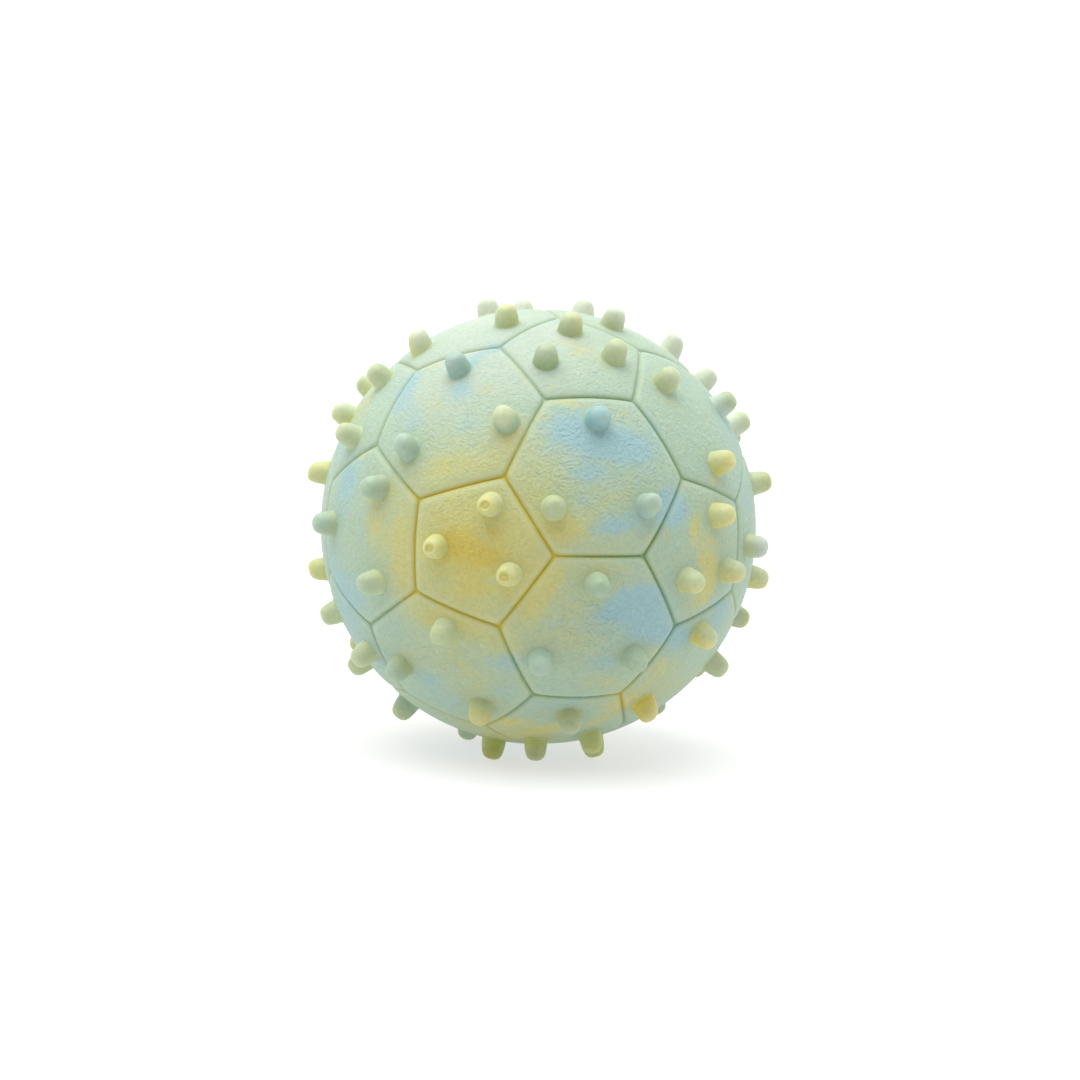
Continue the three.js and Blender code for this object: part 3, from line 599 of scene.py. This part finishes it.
# the far side goes on in the same manner
back = {YELLOW: [], BLUE: [], OCHRE: [], PALE: [],
        LIME: [(60.0, 10.0, 32.0, 26.0, 20.0, 1.0), (140.0, -30.0, 26.0, 22.0, 0.0, 0.9), (100.0, 55.0, 22.0, 16.0, 40.0, 0.8)]}
for k in range(150):
    z = 1 - 2 * (k + 0.5) / 150
    az = math.degrees(k * 2.39996) % 360
    el = math.degrees(math.asin(z))
    d = (math.cos(math.radians(az)) * math.cos(math.radians(el)), math.sin(math.radians(az)) * math.cos(math.radians(el)), z)
    if -0.992 * d[1] + 0.123 * d[2] > -0.08:
        continue
    pick = chance(k, 7)
    kind = BLUE if pick < 0.40 else YELLOW if pick < 0.86 else OCHRE if pick < 0.93 else PALE
    size = 4.0 + 7.0 * chance(k, 1)
    back[kind].append((az, el, size, size * (0.3 + 0.6 * chance(k, 2)), 180 * chance(k, 3), 0.7 + 0.5 * chance(k, 4)))

fields = {kind: patch_field(PATCHES[kind] + back[kind]) for kind in PATCHES}
give(skin, "rest", "FLOAT_VECTOR", points)
give(skin, "yellow", "FLOAT", fields[YELLOW])
give(skin, "blue", "FLOAT", fields[BLUE])
give(skin, "ochre", "FLOAT", fields[OCHRE])
# painted top light over the top, and a few pale marbling patches on the far side
give(skin, "pale_and_top_light", "FLOAT", fields[PALE])
give(skin, "groove", "FLOAT", np.exp(-(seam_of / 0.25) ** 2))
# painted shade, partly pigment, on the sides of each groove
give(skin, "groove_side_shade_and_stain", "FLOAT", np.exp(-(seam_of / 0.62) ** 2))
# painted highlight along the lips of the panels, beside each groove
give(skin, "painted_lip_highlight", "FLOAT", np.exp(-((seam_of - 0.70) / 0.32) ** 2))
from_front = np.degrees(np.arccos(np.clip(direction @ panels[PIT_PANEL][1], -1, 1)))
from_low = np.degrees(np.arccos(np.clip(direction @ WARM_LOW, -1, 1)))
give(skin, "warm", "FLOAT", np.maximum(np.clip((29.0 - from_front) / 7.0, 0, 1), np.clip((9.0 - from_low) / 5.0, 0, 1)))
give(skin, "lime", "FLOAT", fields[LIME])
# how strongly the grooves darken: painted shade, partly pigment soaked into the seams
give(skin, "groove_shade_and_stain_amount", "FLOAT", np.minimum(0.06 + patch_field(GROOVE_SHADE_AND_STAIN), 0.95))
give(skin, "spike", "FLOAT", np.clip((rise_of - 0.03) / 0.09, 0, 1))

# distance to the nearest spike's foot, for smooth collars in the grain and for a ring of painted shade and stain at
# each foot
all_axes = np.array([panel_direction(p, r, a) for p in range(len(panels)) for r, a in SPIKES[p]])
to_spike = np.full(len(points), 99.0)
for axis in all_axes:
    to_spike = np.minimum(to_spike, np.degrees(np.arccos(np.clip(direction @ axis, -1, 1))) * math.pi / 180 * R_CROWN)
foot_shade_and_stain = np.exp(-((to_spike - 2.10) / 0.15) ** 2) * (rise_of < 0.14)
give(skin, "foot_shade_and_stain", "FLOAT", foot_shade_and_stain)
grain = np.clip((seam_of - 0.45) / 0.8, 0, 1) * np.clip((to_spike - 2.25) / 0.6, 0, 1) * (spike_of < 0)
grain = grain * (1 + patch_field(WRINKLED))
give(skin, "grain", "FLOAT", grain)

tint = np.zeros((len(points), 4))
tint[:, 3] = 1.0
for number in range(len(all_axes)):
    p, m = divmod(number, 3)
    if (p, m) in SPIKE_COLOURS:
        low, high = SPIKE_COLOURS[p, m]
    else:
        stock = (SAGE, LIME, SHELL, LEMON, SAGE, MOSS, CREAM, TEAL)
        low = stock[int(chance(p, m, 1) * 6.99)]
        high = stock[int(chance(p, m, 2) * 7.99)]
    mine = spike_of == number
    t = np.clip((rise_of[mine] - 0.15) / 0.7, 0, 1)[:, None]
    t = t * t * (3 - 2 * t)
    tint[mine, :3] = np.array(low) * (1 - t) + np.array(high) * t
    if (p, m) in BLUSH:
        shade, toward, most = BLUSH[p, m]
        axis = all_axes[number]
        toward = np.array(toward) - axis * (axis @ toward)
        s = np.clip(points[mine] @ unit(toward) / 2.6 + 0.5, 0, 1)[:, None]
        s = most * s * s * (3 - 2 * s)
        tint[mine, :3] = tint[mine, :3] * (1 - s) + np.array(shade) * s
give(skin, "spike_tint", "FLOAT_COLOR", tint)
pit = np.zeros(len(points))
for m in range(3):
    mine = spike_of == PIT_PANEL * 3 + m
    end = points[mine][-1]
    off = np.linalg.norm(points[mine] - end, axis=1)
    pit[mine] = np.clip(1.25 - np.abs(off - 0.48) / 0.30, 0, 1)
give(skin, "pit", "FLOAT", pit)

# ------------------------------------------------------------------ node materials


class Nodes:
    """Short names for building a material's nodes."""

    def __init__(self, name):
        self.material = bpy.data.materials.new(name)
        self.material.use_nodes = True
        self.tree = self.material.node_tree
        self.shader = self.tree.nodes["Principled BSDF"]

    def add(self, kind, inputs=None, **settings):
        node = self.tree.nodes.new(kind)
        for k, v in settings.items():
            setattr(node, k, v)
        for k, v in (inputs or {}).items():
            if isinstance(v, bpy.types.NodeSocket):
                self.tree.links.new(v, node.inputs[k])
            else:
                node.inputs[k].default_value = v
        return node

    def value(self, name):
        return self.add("ShaderNodeAttribute", attribute_name=name).outputs["Fac"]

    def colour(self, name):
        return self.add("ShaderNodeAttribute", attribute_name=name).outputs["Color"]

    def vector(self, name):
        return self.add("ShaderNodeAttribute", attribute_name=name).outputs["Vector"]

    def math(self, op, a, b=0.0, c=0.0):
        return self.add("ShaderNodeMath", {0: a, 1: b, 2: c}, operation=op).outputs[0]

    def noise(self, vector, scale, detail=3.0, rough=0.55, distort=0.0, w=0.0):
        return self.add("ShaderNodeTexNoise", {"Vector": vector, "Scale": scale, "Detail": detail, "Roughness": rough,
                                               "Distortion": distort, "W": w}, noise_dimensions="4D").outputs["Fac"]

    def ramp(self, value, low, high, to_low=0.0, to_high=1.0, kind="SMOOTHSTEP"):
        return self.add("ShaderNodeMapRange", {"Value": value, "From Min": low, "From Max": high, "To Min": to_low,
                                               "To Max": to_high}, interpolation_type=kind).outputs["Result"]

    def mix(self, factor, a, b, blend="MIX"):
        node = self.add("ShaderNodeMix", data_type="RGBA", blend_type=blend, clamp_factor=True)
        for socket, v in ((node.inputs[0], factor), (node.inputs[6], a), (node.inputs[7], b)):
            if isinstance(v, bpy.types.NodeSocket):
                self.tree.links.new(v, socket)
            else:
                socket.default_value = v if isinstance(v, float) else (*v[:3], 1.0)
        return node.outputs[2]

    def bump(self, height, distance, strength=1.0, normal=None):
        inputs = {"Height": height, "Distance": distance, "Strength": strength}
        if normal is not None:
            inputs["Normal"] = normal
        return self.add("ShaderNodeBump", inputs).outputs["Normal"]

    def out(self, socket, value):
        if isinstance(value, bpy.types.NodeSocket):
            self.tree.links.new(value, self.shader.inputs[socket])
        else:
            self.shader.inputs[socket].default_value = value


def latex_grain(n, rest):
    """Leather grain of the panels: soft low wrinkles, longer sideways than upright, about 0."""
    bend = n.add("ShaderNodeTexNoise", {"Vector": rest, "Scale": 0.45, "Detail": 1.0}, noise_dimensions="3D").outputs["Color"]
    bent = n.add("ShaderNodeVectorMath", {0: bend, 1: (1.6, 1.6, 1.6), 2: rest}, operation="MULTIPLY_ADD").outputs[0]
    long = n.add("ShaderNodeVectorMath", {0: bent, 1: (0.80, 0.80, 1.0)}, operation="MULTIPLY").outputs[0]
    folds = n.noise(long, 2.05, 0.0, 0.5, 0.0, 2.0)
    cross = n.noise(bent, 2.60, 0.0, 0.5, 0.0, 9.0)
    swell = n.noise(rest, 0.80, 0.0, 0.5, 0.0, 5.0)
    return n.math("MULTIPLY_ADD", swell, 0.35, n.math("MULTIPLY_ADD", cross, 0.60, n.math("MULTIPLY_ADD", folds, 0.85, -0.90)))


def latex_material():
    n = Nodes("marbled_latex")
    rest = n.vector("rest")
    drift = n.noise(rest, 0.10, 4.0, 0.6, 0.8, 1.0)
    sponge = n.noise(rest, 0.85, 4.0, 0.68, 0.5, 2.0)
    ground = n.math("ADD", n.value("lime"), n.math("ADD", n.math("MULTIPLY_ADD", drift, 0.9, -0.45), n.math("MULTIPLY_ADD", sponge, 0.5, -0.25)))
    colour = n.mix(n.ramp(ground, -0.10, 0.95), MINT, LIME)
    # paler over the top: painted top light; on the far side, a few pale patches of the marbling
    colour = n.mix(n.ramp(n.math("MULTIPLY_ADD", drift, 0.4, n.value("pale_and_top_light")), 0.25, 1.20), colour, PALE)
    for k, (name, shade, low, high, most) in enumerate((("yellow", YELLOW, 0.14, 1.00, 0.85), ("blue", BLUE, 0.12, 1.05, 0.90),
                                                        ("ochre", OCHRE, 0.10, 1.25, 0.80))):
        field = n.value(name)
        broad = n.noise(rest, 0.34, 4.0, 0.62, 0.9, 3.0 + 7 * k)
        brush = n.noise(rest, 1.30, 4.0, 0.70, 0.6, 4.0 + 7 * k)
        stir = n.math("ADD", n.math("MULTIPLY_ADD", broad, 0.90, -0.45), n.math("MULTIPLY_ADD", brush, 1.00, -0.50))
        near = n.ramp(field, 0.02, 0.40)
        amount = n.ramp(n.math("MULTIPLY_ADD", stir, near, field), low, high)
        colour = n.mix(n.math("MULTIPLY", amount, most), colour, shade)
    spike = n.value("spike")
    body = n.noise(rest, 0.55, 3.0, 0.5, 0.3, 40.0)
    tint = n.mix(n.ramp(body, 0.35, 0.75, 0.0, 0.25), n.colour("spike_tint"), PALE)
    colour = n.mix(spike, colour, tint)
    # a little cloudiness of the pigment
    cloud = n.ramp(n.noise(rest, 1.4, 4.0, 0.65, 0.2, 60.0), 0.3, 0.7, 0.95, 1.05)
    colour = n.mix(1.0, colour, n.add("ShaderNodeCombineColor", {"Red": cloud, "Green": cloud, "Blue": cloud}).outputs[0], "MULTIPLY")
    # painted highlight on the lips of the panels, and the floor of the grooves lightened a little
    colour = n.mix(n.math("MULTIPLY", n.value("painted_lip_highlight"), 0.20), colour, (0.54, 0.59, 0.49))
    colour = n.mix(n.math("MULTIPLY", n.value("groove"), 0.12), colour, (0.62, 0.69, 0.60))
    # painted shade, partly pigment, beside the grooves and in the crease at each spike's foot: darker and yellower
    shade_and_stain_colour = n.mix(1.0, n.add("ShaderNodeGamma", {"Color": colour, "Gamma": 1.14}).outputs[0], (1.0, 1.0, 0.84), "MULTIPLY")
    colour = n.mix(n.math("MAXIMUM", n.math("MULTIPLY", n.value("groove_side_shade_and_stain"), 0.60), n.math("MULTIPLY", n.value("foot_shade_and_stain"), 0.50)), colour, shade_and_stain_colour)
    # painted shade down in the grooves, partly soaked-in pigment: a darker, deeper colour, ochre near the front
    # pentagon
    groove_shade_and_stain_colour = n.mix(1.0, n.add("ShaderNodeGamma", {"Color": colour, "Gamma": 1.90}).outputs[0], (1.16, 1.24, 1.06), "MULTIPLY")
    groove_shade_and_stain_colour = n.mix(n.math("MULTIPLY", n.value("warm"), 0.85), groove_shade_and_stain_colour, (0.53, 0.415, 0.022))
    groove_shade_and_stain_amount = n.math("MAXIMUM", n.value("groove_shade_and_stain_amount"), n.math("MULTIPLY", n.value("warm"), 0.95))
    colour = n.mix(n.math("MULTIPLY", n.value("groove"), groove_shade_and_stain_amount), colour, groove_shade_and_stain_colour)
    colour = n.mix(n.math("MULTIPLY", n.value("pit"), 0.50), colour, (0.66, 0.58, 0.08))
    n.out("Base Color", colour)
    rough = n.ramp(n.noise(rest, 1.3, 3.0, 0.6, 0.0, 80.0), 0.25, 0.75, 0.56, 0.70)
    n.out("Roughness", n.math("MULTIPLY_ADD", spike, -0.16, rough))
    n.out("Specular IOR Level", 0.42)
    n.out("Subsurface Weight", 0.10)
    n.out("Subsurface Radius", (1.0, 0.9, 0.55))
    n.out("Subsurface Scale", 0.0007)
    height = n.math("MULTIPLY", latex_grain(n, rest), n.value("grain"))
    skin_pore = n.noise(rest, 2.6, 2.0, 0.5, 0.0, 90.0)
    n.out("Normal", n.bump(height, 0.00017, 1.0, n.bump(skin_pore, 0.00002, 0.5)))
    return n.material


latex = latex_material()
skin.data.materials.append(latex)

# ------------------------------------------------------------------ round pieces


def rounded(profile, radius, steps=4):
    """The corners of a profile rounded off; the ends stay."""
    out = [profile[0]]
    for a, b, c in zip(profile, profile[1:], profile[2:]):
        a, b, c = np.array(a, float), np.array(b, float), np.array(c, float)
        la, lc = np.linalg.norm(a - b), np.linalg.norm(c - b)
        r = min(radius, 0.4 * la, 0.4 * lc)
        p, q = b + (a - b) / la * r, b + (c - b) / lc * r
        for k in range(steps + 1):
            t = k / steps
            out.append(tuple((1 - t) ** 2 * p + 2 * t * (1 - t) * b + t * t * q))
    out.append(profile[-1])
    return out


def lathe(name, profile, sides, closed=False, axis=None):
    """A turned piece: profile points are (radius, height); closed joins its ends."""
    axis = np.array((0, 0, 1.0)) if axis is None else np.asarray(axis, float)
    ref = np.array((1.0, 0, 0)) if abs(axis[0]) < 0.9 else np.array((0, 1.0, 0))
    e1 = unit(ref - axis * (ref @ axis))
    e2 = np.cross(axis, e1)
    co, rings, polys = [], [], []
    for r, z in profile:
        if r < 1e-6:
            co.append(axis * z)
            rings.append([len(co) - 1])
        else:
            start = len(co)
            for k in range(sides):
                t = 2 * math.pi * k / sides
                co.append(axis * z + (e1 * math.cos(t) + e2 * math.sin(t)) * r)
            rings.append(list(range(start, start + sides)))
    pairs = list(zip(rings, rings[1:])) + ([(rings[-1], rings[0])] if closed else [])
    for a, b in pairs:
        for k in range(sides):
            k2 = (k + 1) % sides
            if len(a) == 1 and len(b) > 1:
                polys.append((a[0], b[k2], b[k]))
            elif len(b) == 1 and len(a) > 1:
                polys.append((a[k], a[k2], b[0]))
            elif len(a) > 1:
                polys.append((a[k], a[k2], b[k2], b[k]))
    obj = mesh_object(name, co, polys)
    rest = np.array(co)
    give(obj, "rest", "FLOAT_VECTOR", rest)
    return obj


def along_sphere(radius, r0, r1, steps):
    return [(r0 + (r1 - r0) * k / steps, math.sqrt(radius ** 2 - (r0 + (r1 - r0) * k / steps) ** 2)) for k in range(steps + 1)]


# plug in the filling hole: flange inside, stem, and a low domed head outside
plug_profile = rounded(
    along_sphere(32.5, 0, 5.7, 8) + [(6.0, math.sqrt(32.5 ** 2 - 36) + 0.35)] + along_sphere(33.3, 5.7, 4.2, 3)
    + along_sphere(36.90, 4.2, 4.9, 1) + along_sphere(36.63, 5.5, 6.15, 2) + [(6.2, math.sqrt(36.80 ** 2 - 6.2 ** 2))]
    + along_sphere(37.14, 6.0, 5.8, 1) + along_sphere(37.45, 5.2, 4.7, 1) + along_sphere(37.66, 3.6, 1.3, 5)
    + [(1.1, 37.60), (0.8, 37.47), (0.4, 37.42), (0.0, 37.41)], 0.25, 2)
plug = lathe("fill_hole_plug_fine", plug_profile, 72, axis=panels[HOLE_PANEL][1])

# squeaker: heights are from the centre of the ball
cup = lathe("squeaker_base_fine", rounded([
    (8.0, -10.0), (14.0, -10.0), (14.0, -2.8), (12.8, -2.8), (12.8, -8.5), (5.4, -8.5), (5.2, -8.2), (4.4, -8.2), (3.6, -8.2),
    (3.6, -10.0), (8.0, -10.0)], 0.25, 3)[:-1], 72, closed=True)
ripple = [0.0, 0.16, 0.0, 0.16, 0.0]
inner = [(14.5 * math.cos(t), 4.6 + 6.3 * math.sin(t)) for t in np.linspace(math.pi / 2, 0, 22)]
outer = [(15.6 * math.cos(t), 5.0 + 7.0 * math.sin(t) - 0.14 * (1 - math.cos(10 * t)) * math.sin(t)) for t in np.linspace(0, math.pi / 2, 40)]
inner[0], outer[-1] = (0.0, 10.9), (0.0, outer[-1][1])
skirt_in = [(14.5, z) for z in (2.5, 0.0, -2.4, -4.55)]
skirt_out = [(15.35, -4.8), (15.6, -4.55), (15.6, -3.2), (15.45, -2.9), (15.6, -2.6), (15.6, 0.0), (15.45, 0.3), (15.6, 0.6), (15.6, 3.0)]
dome = lathe("squeaker_dome_fine", inner + skirt_in + [(14.75, -4.8)] + skirt_out + outer, 72)
barrel = lathe("reed_barrel_fine", rounded([
    (2.6, -12.5), (3.2, -12.5), (3.2, -11.4), (4.8, -11.4), (4.8, -10.35), (3.2, -10.35), (3.2, -2.5), (2.1, -2.5), (2.1, -12.5),
    (2.6, -12.5)], 0.18, 3)[:-1], 56, closed=True)


def prism(name, outline, z0, z1, bevel, levels):
    """An upright prism of an outline with eased ends."""
    outline = np.array(outline, float)
    middle = outline.mean(0)
    zs = [(z0, 1 - bevel), (z0 + bevel * 0.6, 1.0)] + [(z0 + (z1 - z0) * k / levels, 1.0) for k in range(1, levels)] + [(z1 - bevel * 0.6, 1.0), (z1, 1 - bevel)]
    co, polys = [], []
    for z, s in zs:
        for q in outline:
            q = middle + (q - middle) * s
            co.append((q[0], q[1], z))
    count = len(outline)
    for a in range(len(zs) - 1):
        for k in range(count):
            k2 = (k + 1) % count
            polys.append((a * count + k, a * count + k2, (a + 1) * count + k2, (a + 1) * count + k))
    polys.append(tuple(range(count))[::-1])
    polys.append(tuple(range((len(zs) - 1) * count, len(zs) * count)))
    obj = mesh_object(name, co, polys, smooth=False)
    give(obj, "rest", "FLOAT_VECTOR", np.array(co))
    return obj


half = math.acos(0.75 / 1.75)
wedge = prism("reed_wedge_fine", [(1.75 * math.cos(t), 1.75 * math.sin(t)) for t in np.linspace(-math.pi / 2 - half, -math.pi / 2 + half, 28)],
              -11.5, -4.0, 0.1, 10)
tongue_x = [-1.2, -1.12, -0.6, 0.0, 0.6, 1.12, 1.2]
tongue_outline = [(x, -0.15 if abs(x) < 1.15 else -0.09) for x in tongue_x] + [(x, 0.15 if abs(x) < 1.15 else 0.09) for x in tongue_x[::-1]]
tongue = prism("reed_tongue_fine", tongue_outline, -11.0, -4.0, 0.06, 14)

# ------------------------------------------------------------------ fibre filling

source = bpy.data.objects.new("filling_source", nodes["fibre_filling"].data.copy())
bpy.context.scene.collection.objects.link(source)
remesh = source.modifiers.new("remesh", "REMESH")
remesh.mode = "VOXEL"
remesh.voxel_size = 0.0011
bpy.context.view_layer.update()
lump = bpy.data.meshes.new_from_object(source.evaluated_get(bpy.context.evaluated_depsgraph_get()))
bpy.data.objects.remove(source)
lump.name = "fibre_filling_fine"
filling = bpy.data.objects.new("fibre_filling_fine", lump)
bpy.context.scene.collection.objects.link(filling)
co = np.zeros(len(lump.vertices) * 3)
lump.vertices.foreach_get("co", co)
co = co.reshape(-1, 3) * 1000 - CENTRE
normal = np.zeros(len(lump.vertices) * 3)
lump.vertices.foreach_get("normal", normal)
normal = normal.reshape(-1, 3)
heave = []
for q in co:
    v = Vector(q)
    tuft = noise.noise(v * 0.16) * 0.55 + noise.noise(v * 0.45 + Vector((9, 3, 5))) * 0.35
    strand = abs(noise.noise(Vector((q[0] * 0.9, q[1] * 0.9, q[2] * 0.35)))) * 0.25
    heave.append(-0.30 + tuft - strand)
co = co + normal * np.clip(np.array(heave), -1.1, 0.45)[:, None]
lump.vertices.foreach_set("co", ((co + CENTRE) * 0.001).astype(np.float32).ravel())
lump.update()
lump.polygons.foreach_set("use_smooth", [True] * len(lump.polygons))
lump.materials.clear()
give(filling, "rest", "FLOAT_VECTOR", co)


def plastic_material(name, base, second, rough, grain, scale):
    n = Nodes(name)
    rest = n.vector("rest")
    flow = n.ramp(n.noise(rest, 0.22, 4.0, 0.6, 1.2, 1.0), 0.3, 0.7)
    colour = n.mix(flow, base, second)
    speck = n.ramp(n.noise(rest, 2.4, 2.0, 0.5, 0.0, 2.0), 0.62, 0.74, 0.0, 0.12)
    n.out("Base Color", n.mix(speck, colour, tuple(0.8 * c for c in base)))
    n.out("Roughness", n.ramp(n.noise(rest, 0.9, 3.0, 0.6, 0.0, 3.0), 0.25, 0.75, rough - 0.06, rough + 0.06))
    n.out("Subsurface Weight", 0.12)
    n.out("Subsurface Scale", 0.001)
    n.out("Normal", n.bump(n.noise(rest, scale, 3.0, 0.6, 0.0, 4.0), grain, 0.6))
    return n.material


def fibre_material():
    n = Nodes("polyester_fibre")
    rest = n.vector("rest")
    pull = n.add("ShaderNodeVectorMath", {0: rest, 1: (1.0, 1.0, 0.22)}, operation="MULTIPLY").outputs[0]
    cross = n.add("ShaderNodeVectorMath", {0: rest, 1: (0.2, 1.0, 1.0)}, operation="MULTIPLY").outputs[0]
    strands = n.math("ABSOLUTE", n.math("SUBTRACT", n.noise(pull, 2.8, 4.0, 0.7, 0.8, 1.0), 0.5))
    others = n.math("ABSOLUTE", n.math("SUBTRACT", n.noise(cross, 2.5, 4.0, 0.7, 0.8, 2.0), 0.5))
    web = n.ramp(n.math("MINIMUM", strands, others), 0.0, 0.16)
    shade = n.ramp(n.noise(rest, 0.3, 3.0, 0.6, 0.4, 3.0), 0.3, 0.7)
    colour = n.mix(web, (0.93, 0.93, 0.91), (0.76, 0.76, 0.73))
    n.out("Base Color", n.mix(n.math("MULTIPLY", shade, 0.35), colour, (0.84, 0.84, 0.80)))
    n.out("Roughness", n.ramp(web, 0.0, 1.0, 0.82, 0.97))
    n.out("Sheen Weight", 0.4)
    n.out("Normal", n.bump(web, 0.0004, 0.8))
    return n.material


def plug_material():
    n = Nodes("plug_latex")
    rest = n.vector("rest")
    stir = n.noise(rest, 0.28, 4.0, 0.62, 0.9, 12.0)
    colour = n.mix(n.ramp(stir, 0.40, 0.64), MINT, LIME)
    colour = n.mix(n.ramp(n.noise(rest, 0.24, 4.0, 0.6, 0.8, 31.0), 0.50, 0.68), colour, BLUE)
    cloud = n.ramp(n.noise(rest, 0.8, 4.0, 0.65, 0.2, 60.0), 0.3, 0.7, 0.0, 0.35)
    n.out("Base Color", n.mix(cloud, colour, PALE))
    n.out("Roughness", n.ramp(n.noise(rest, 1.3, 3.0, 0.6, 0.0, 80.0), 0.25, 0.75, 0.55, 0.68))
    n.out("Specular IOR Level", 0.36)
    n.out("Subsurface Weight", 0.28)
    n.out("Subsurface Radius", (1.0, 0.9, 0.55))
    n.out("Subsurface Scale", 0.0012)
    n.out("Normal", n.bump(n.noise(rest, 2.4, 3.0, 0.6, 0.3, 90.0), 0.00004, 0.6))
    return n.material


reed_plastic = plastic_material("reed_plastic", (0.80, 0.80, 0.78), (0.74, 0.74, 0.72), 0.42, 0.00003, 3.0)
for obj, made in (
    (plug, plug_material()),
    (filling, fibre_material()),
    (cup, plastic_material("stiff_plastic", (0.78, 0.76, 0.70), (0.72, 0.70, 0.64), 0.48, 0.00004, 2.2)),
    (dome, plastic_material("soft_plastic", (0.85, 0.83, 0.78), (0.79, 0.78, 0.73), 0.40, 0.00003, 1.6)),
    (barrel, reed_plastic),
    (wedge, reed_plastic),
    (tongue, plastic_material("tongue_film", (0.66, 0.68, 0.68), (0.60, 0.62, 0.63), 0.28, 0.00002, 3.4)),
):
    obj.data.materials.append(made)

# ------------------------------------------------------------------ bodies

for obj, body, node, slot in (
    (skin, "ball", "latex_skin", "latex"),
    (plug, "ball", "fill_hole_plug", "plug_latex"),
    (filling, "ball", "fibre_filling", "fibre"),
    (cup, "ball", "squeaker_base", "stiff_plastic"),
    (barrel, "ball", "reed_barrel", "reed_plastic"),
    (wedge, "ball", "reed_wedge", "reed_plastic"),
    (dome, "bellows", "squeaker_dome", "soft_plastic"),
    (tongue, "reed", "reed_tongue", "tongue_film"),
):
    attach(obj, body)
    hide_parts(node)
# the skin, its plug and the filling each get a mesh of their own
for obj in (skin, plug, filling):
    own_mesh(obj)

# ------------------------------------------------------------------ floor, light and camera

floor = bpy.data.meshes.new("floor")
ring = [(3.0 * math.cos(2 * math.pi * k / 64), 3.0 * math.sin(2 * math.pi * k / 64), 0.0) for k in range(64)]
floor.from_pydata(ring, [], [tuple(range(64))])
floor = bpy.data.objects.new("floor", floor)
bpy.context.scene.collection.objects.link(floor)
n = Nodes("pale_floor")
where = n.add("ShaderNodeTexCoord").outputs["Object"]
n.out("Base Color", n.mix(n.noise(where, 3.0, 3.0), (0.40, 0.40, 0.40), (0.42, 0.42, 0.42)))
n.out("Roughness", 0.9)
n.out("Specular IOR Level", 0.1)
n.out("Emission Color", (1.0, 1.0, 1.0, 1.0))
n.out("Emission Strength", 0.56)
floor.data.materials.append(n.material)
floor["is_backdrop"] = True

# a white studio: bright all round, dimmer on the viewer's side
world = bpy.data.worlds.new("studio")
world.use_nodes = True
sky = world.node_tree
toward = sky.nodes.new("ShaderNodeTexCoord")
parts = sky.nodes.new("ShaderNodeSeparateXYZ")
level = sky.nodes.new("ShaderNodeMapRange")
level.interpolation_type = "SMOOTHSTEP"
for name, v in (("From Min", -0.95), ("From Max", 0.15), ("To Min", 0.18), ("To Max", 1.25)):
    level.inputs[name].default_value = v
sky.links.new(toward.outputs["Generated"], parts.inputs[0])
sky.links.new(parts.outputs["Y"], level.inputs["Value"])
sky.links.new(level.outputs["Result"], sky.nodes["Background"].inputs["Strength"])
sky.nodes["Background"].inputs["Color"].default_value = (1.0, 1.0, 1.0, 1.0)
bpy.context.scene.world = world

sun = bpy.data.lights.new("overhead", "SUN")
sun.energy = 2.70
sun.angle = math.radians(68)
overhead = bpy.data.objects.new("overhead", sun)
overhead.rotation_euler = Vector((-0.16, -0.13, 0.97)).to_track_quat("Z", "Y").to_euler()
bpy.context.scene.collection.objects.link(overhead)

cam = bpy.data.cameras.new("camera")
cam.sensor_width = 36.0
cam.lens = 92.24
cam.shift_x = 0.0015
cam.shift_y = -0.01245
cam.clip_start, cam.clip_end = 0.01, 20.0
camera = bpy.data.objects.new("camera", cam)
right = Vector((0.9992266, 0.0048495, 0.0390214))
up = Vector((-0.0393216, 0.1232331, 0.9915984))
away = Vector((0.0, -0.9923659, 0.1233285))
turned = Matrix((right, up, away)).transposed().to_4x4()
camera.matrix_world = Matrix.Translation(Vector(CENTRE * 0.001) + away * 0.4669) @ turned
bpy.context.scene.collection.objects.link(camera)
bpy.context.scene.camera = camera
bpy.context.scene.view_settings.view_transform = "Standard"

low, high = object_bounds()
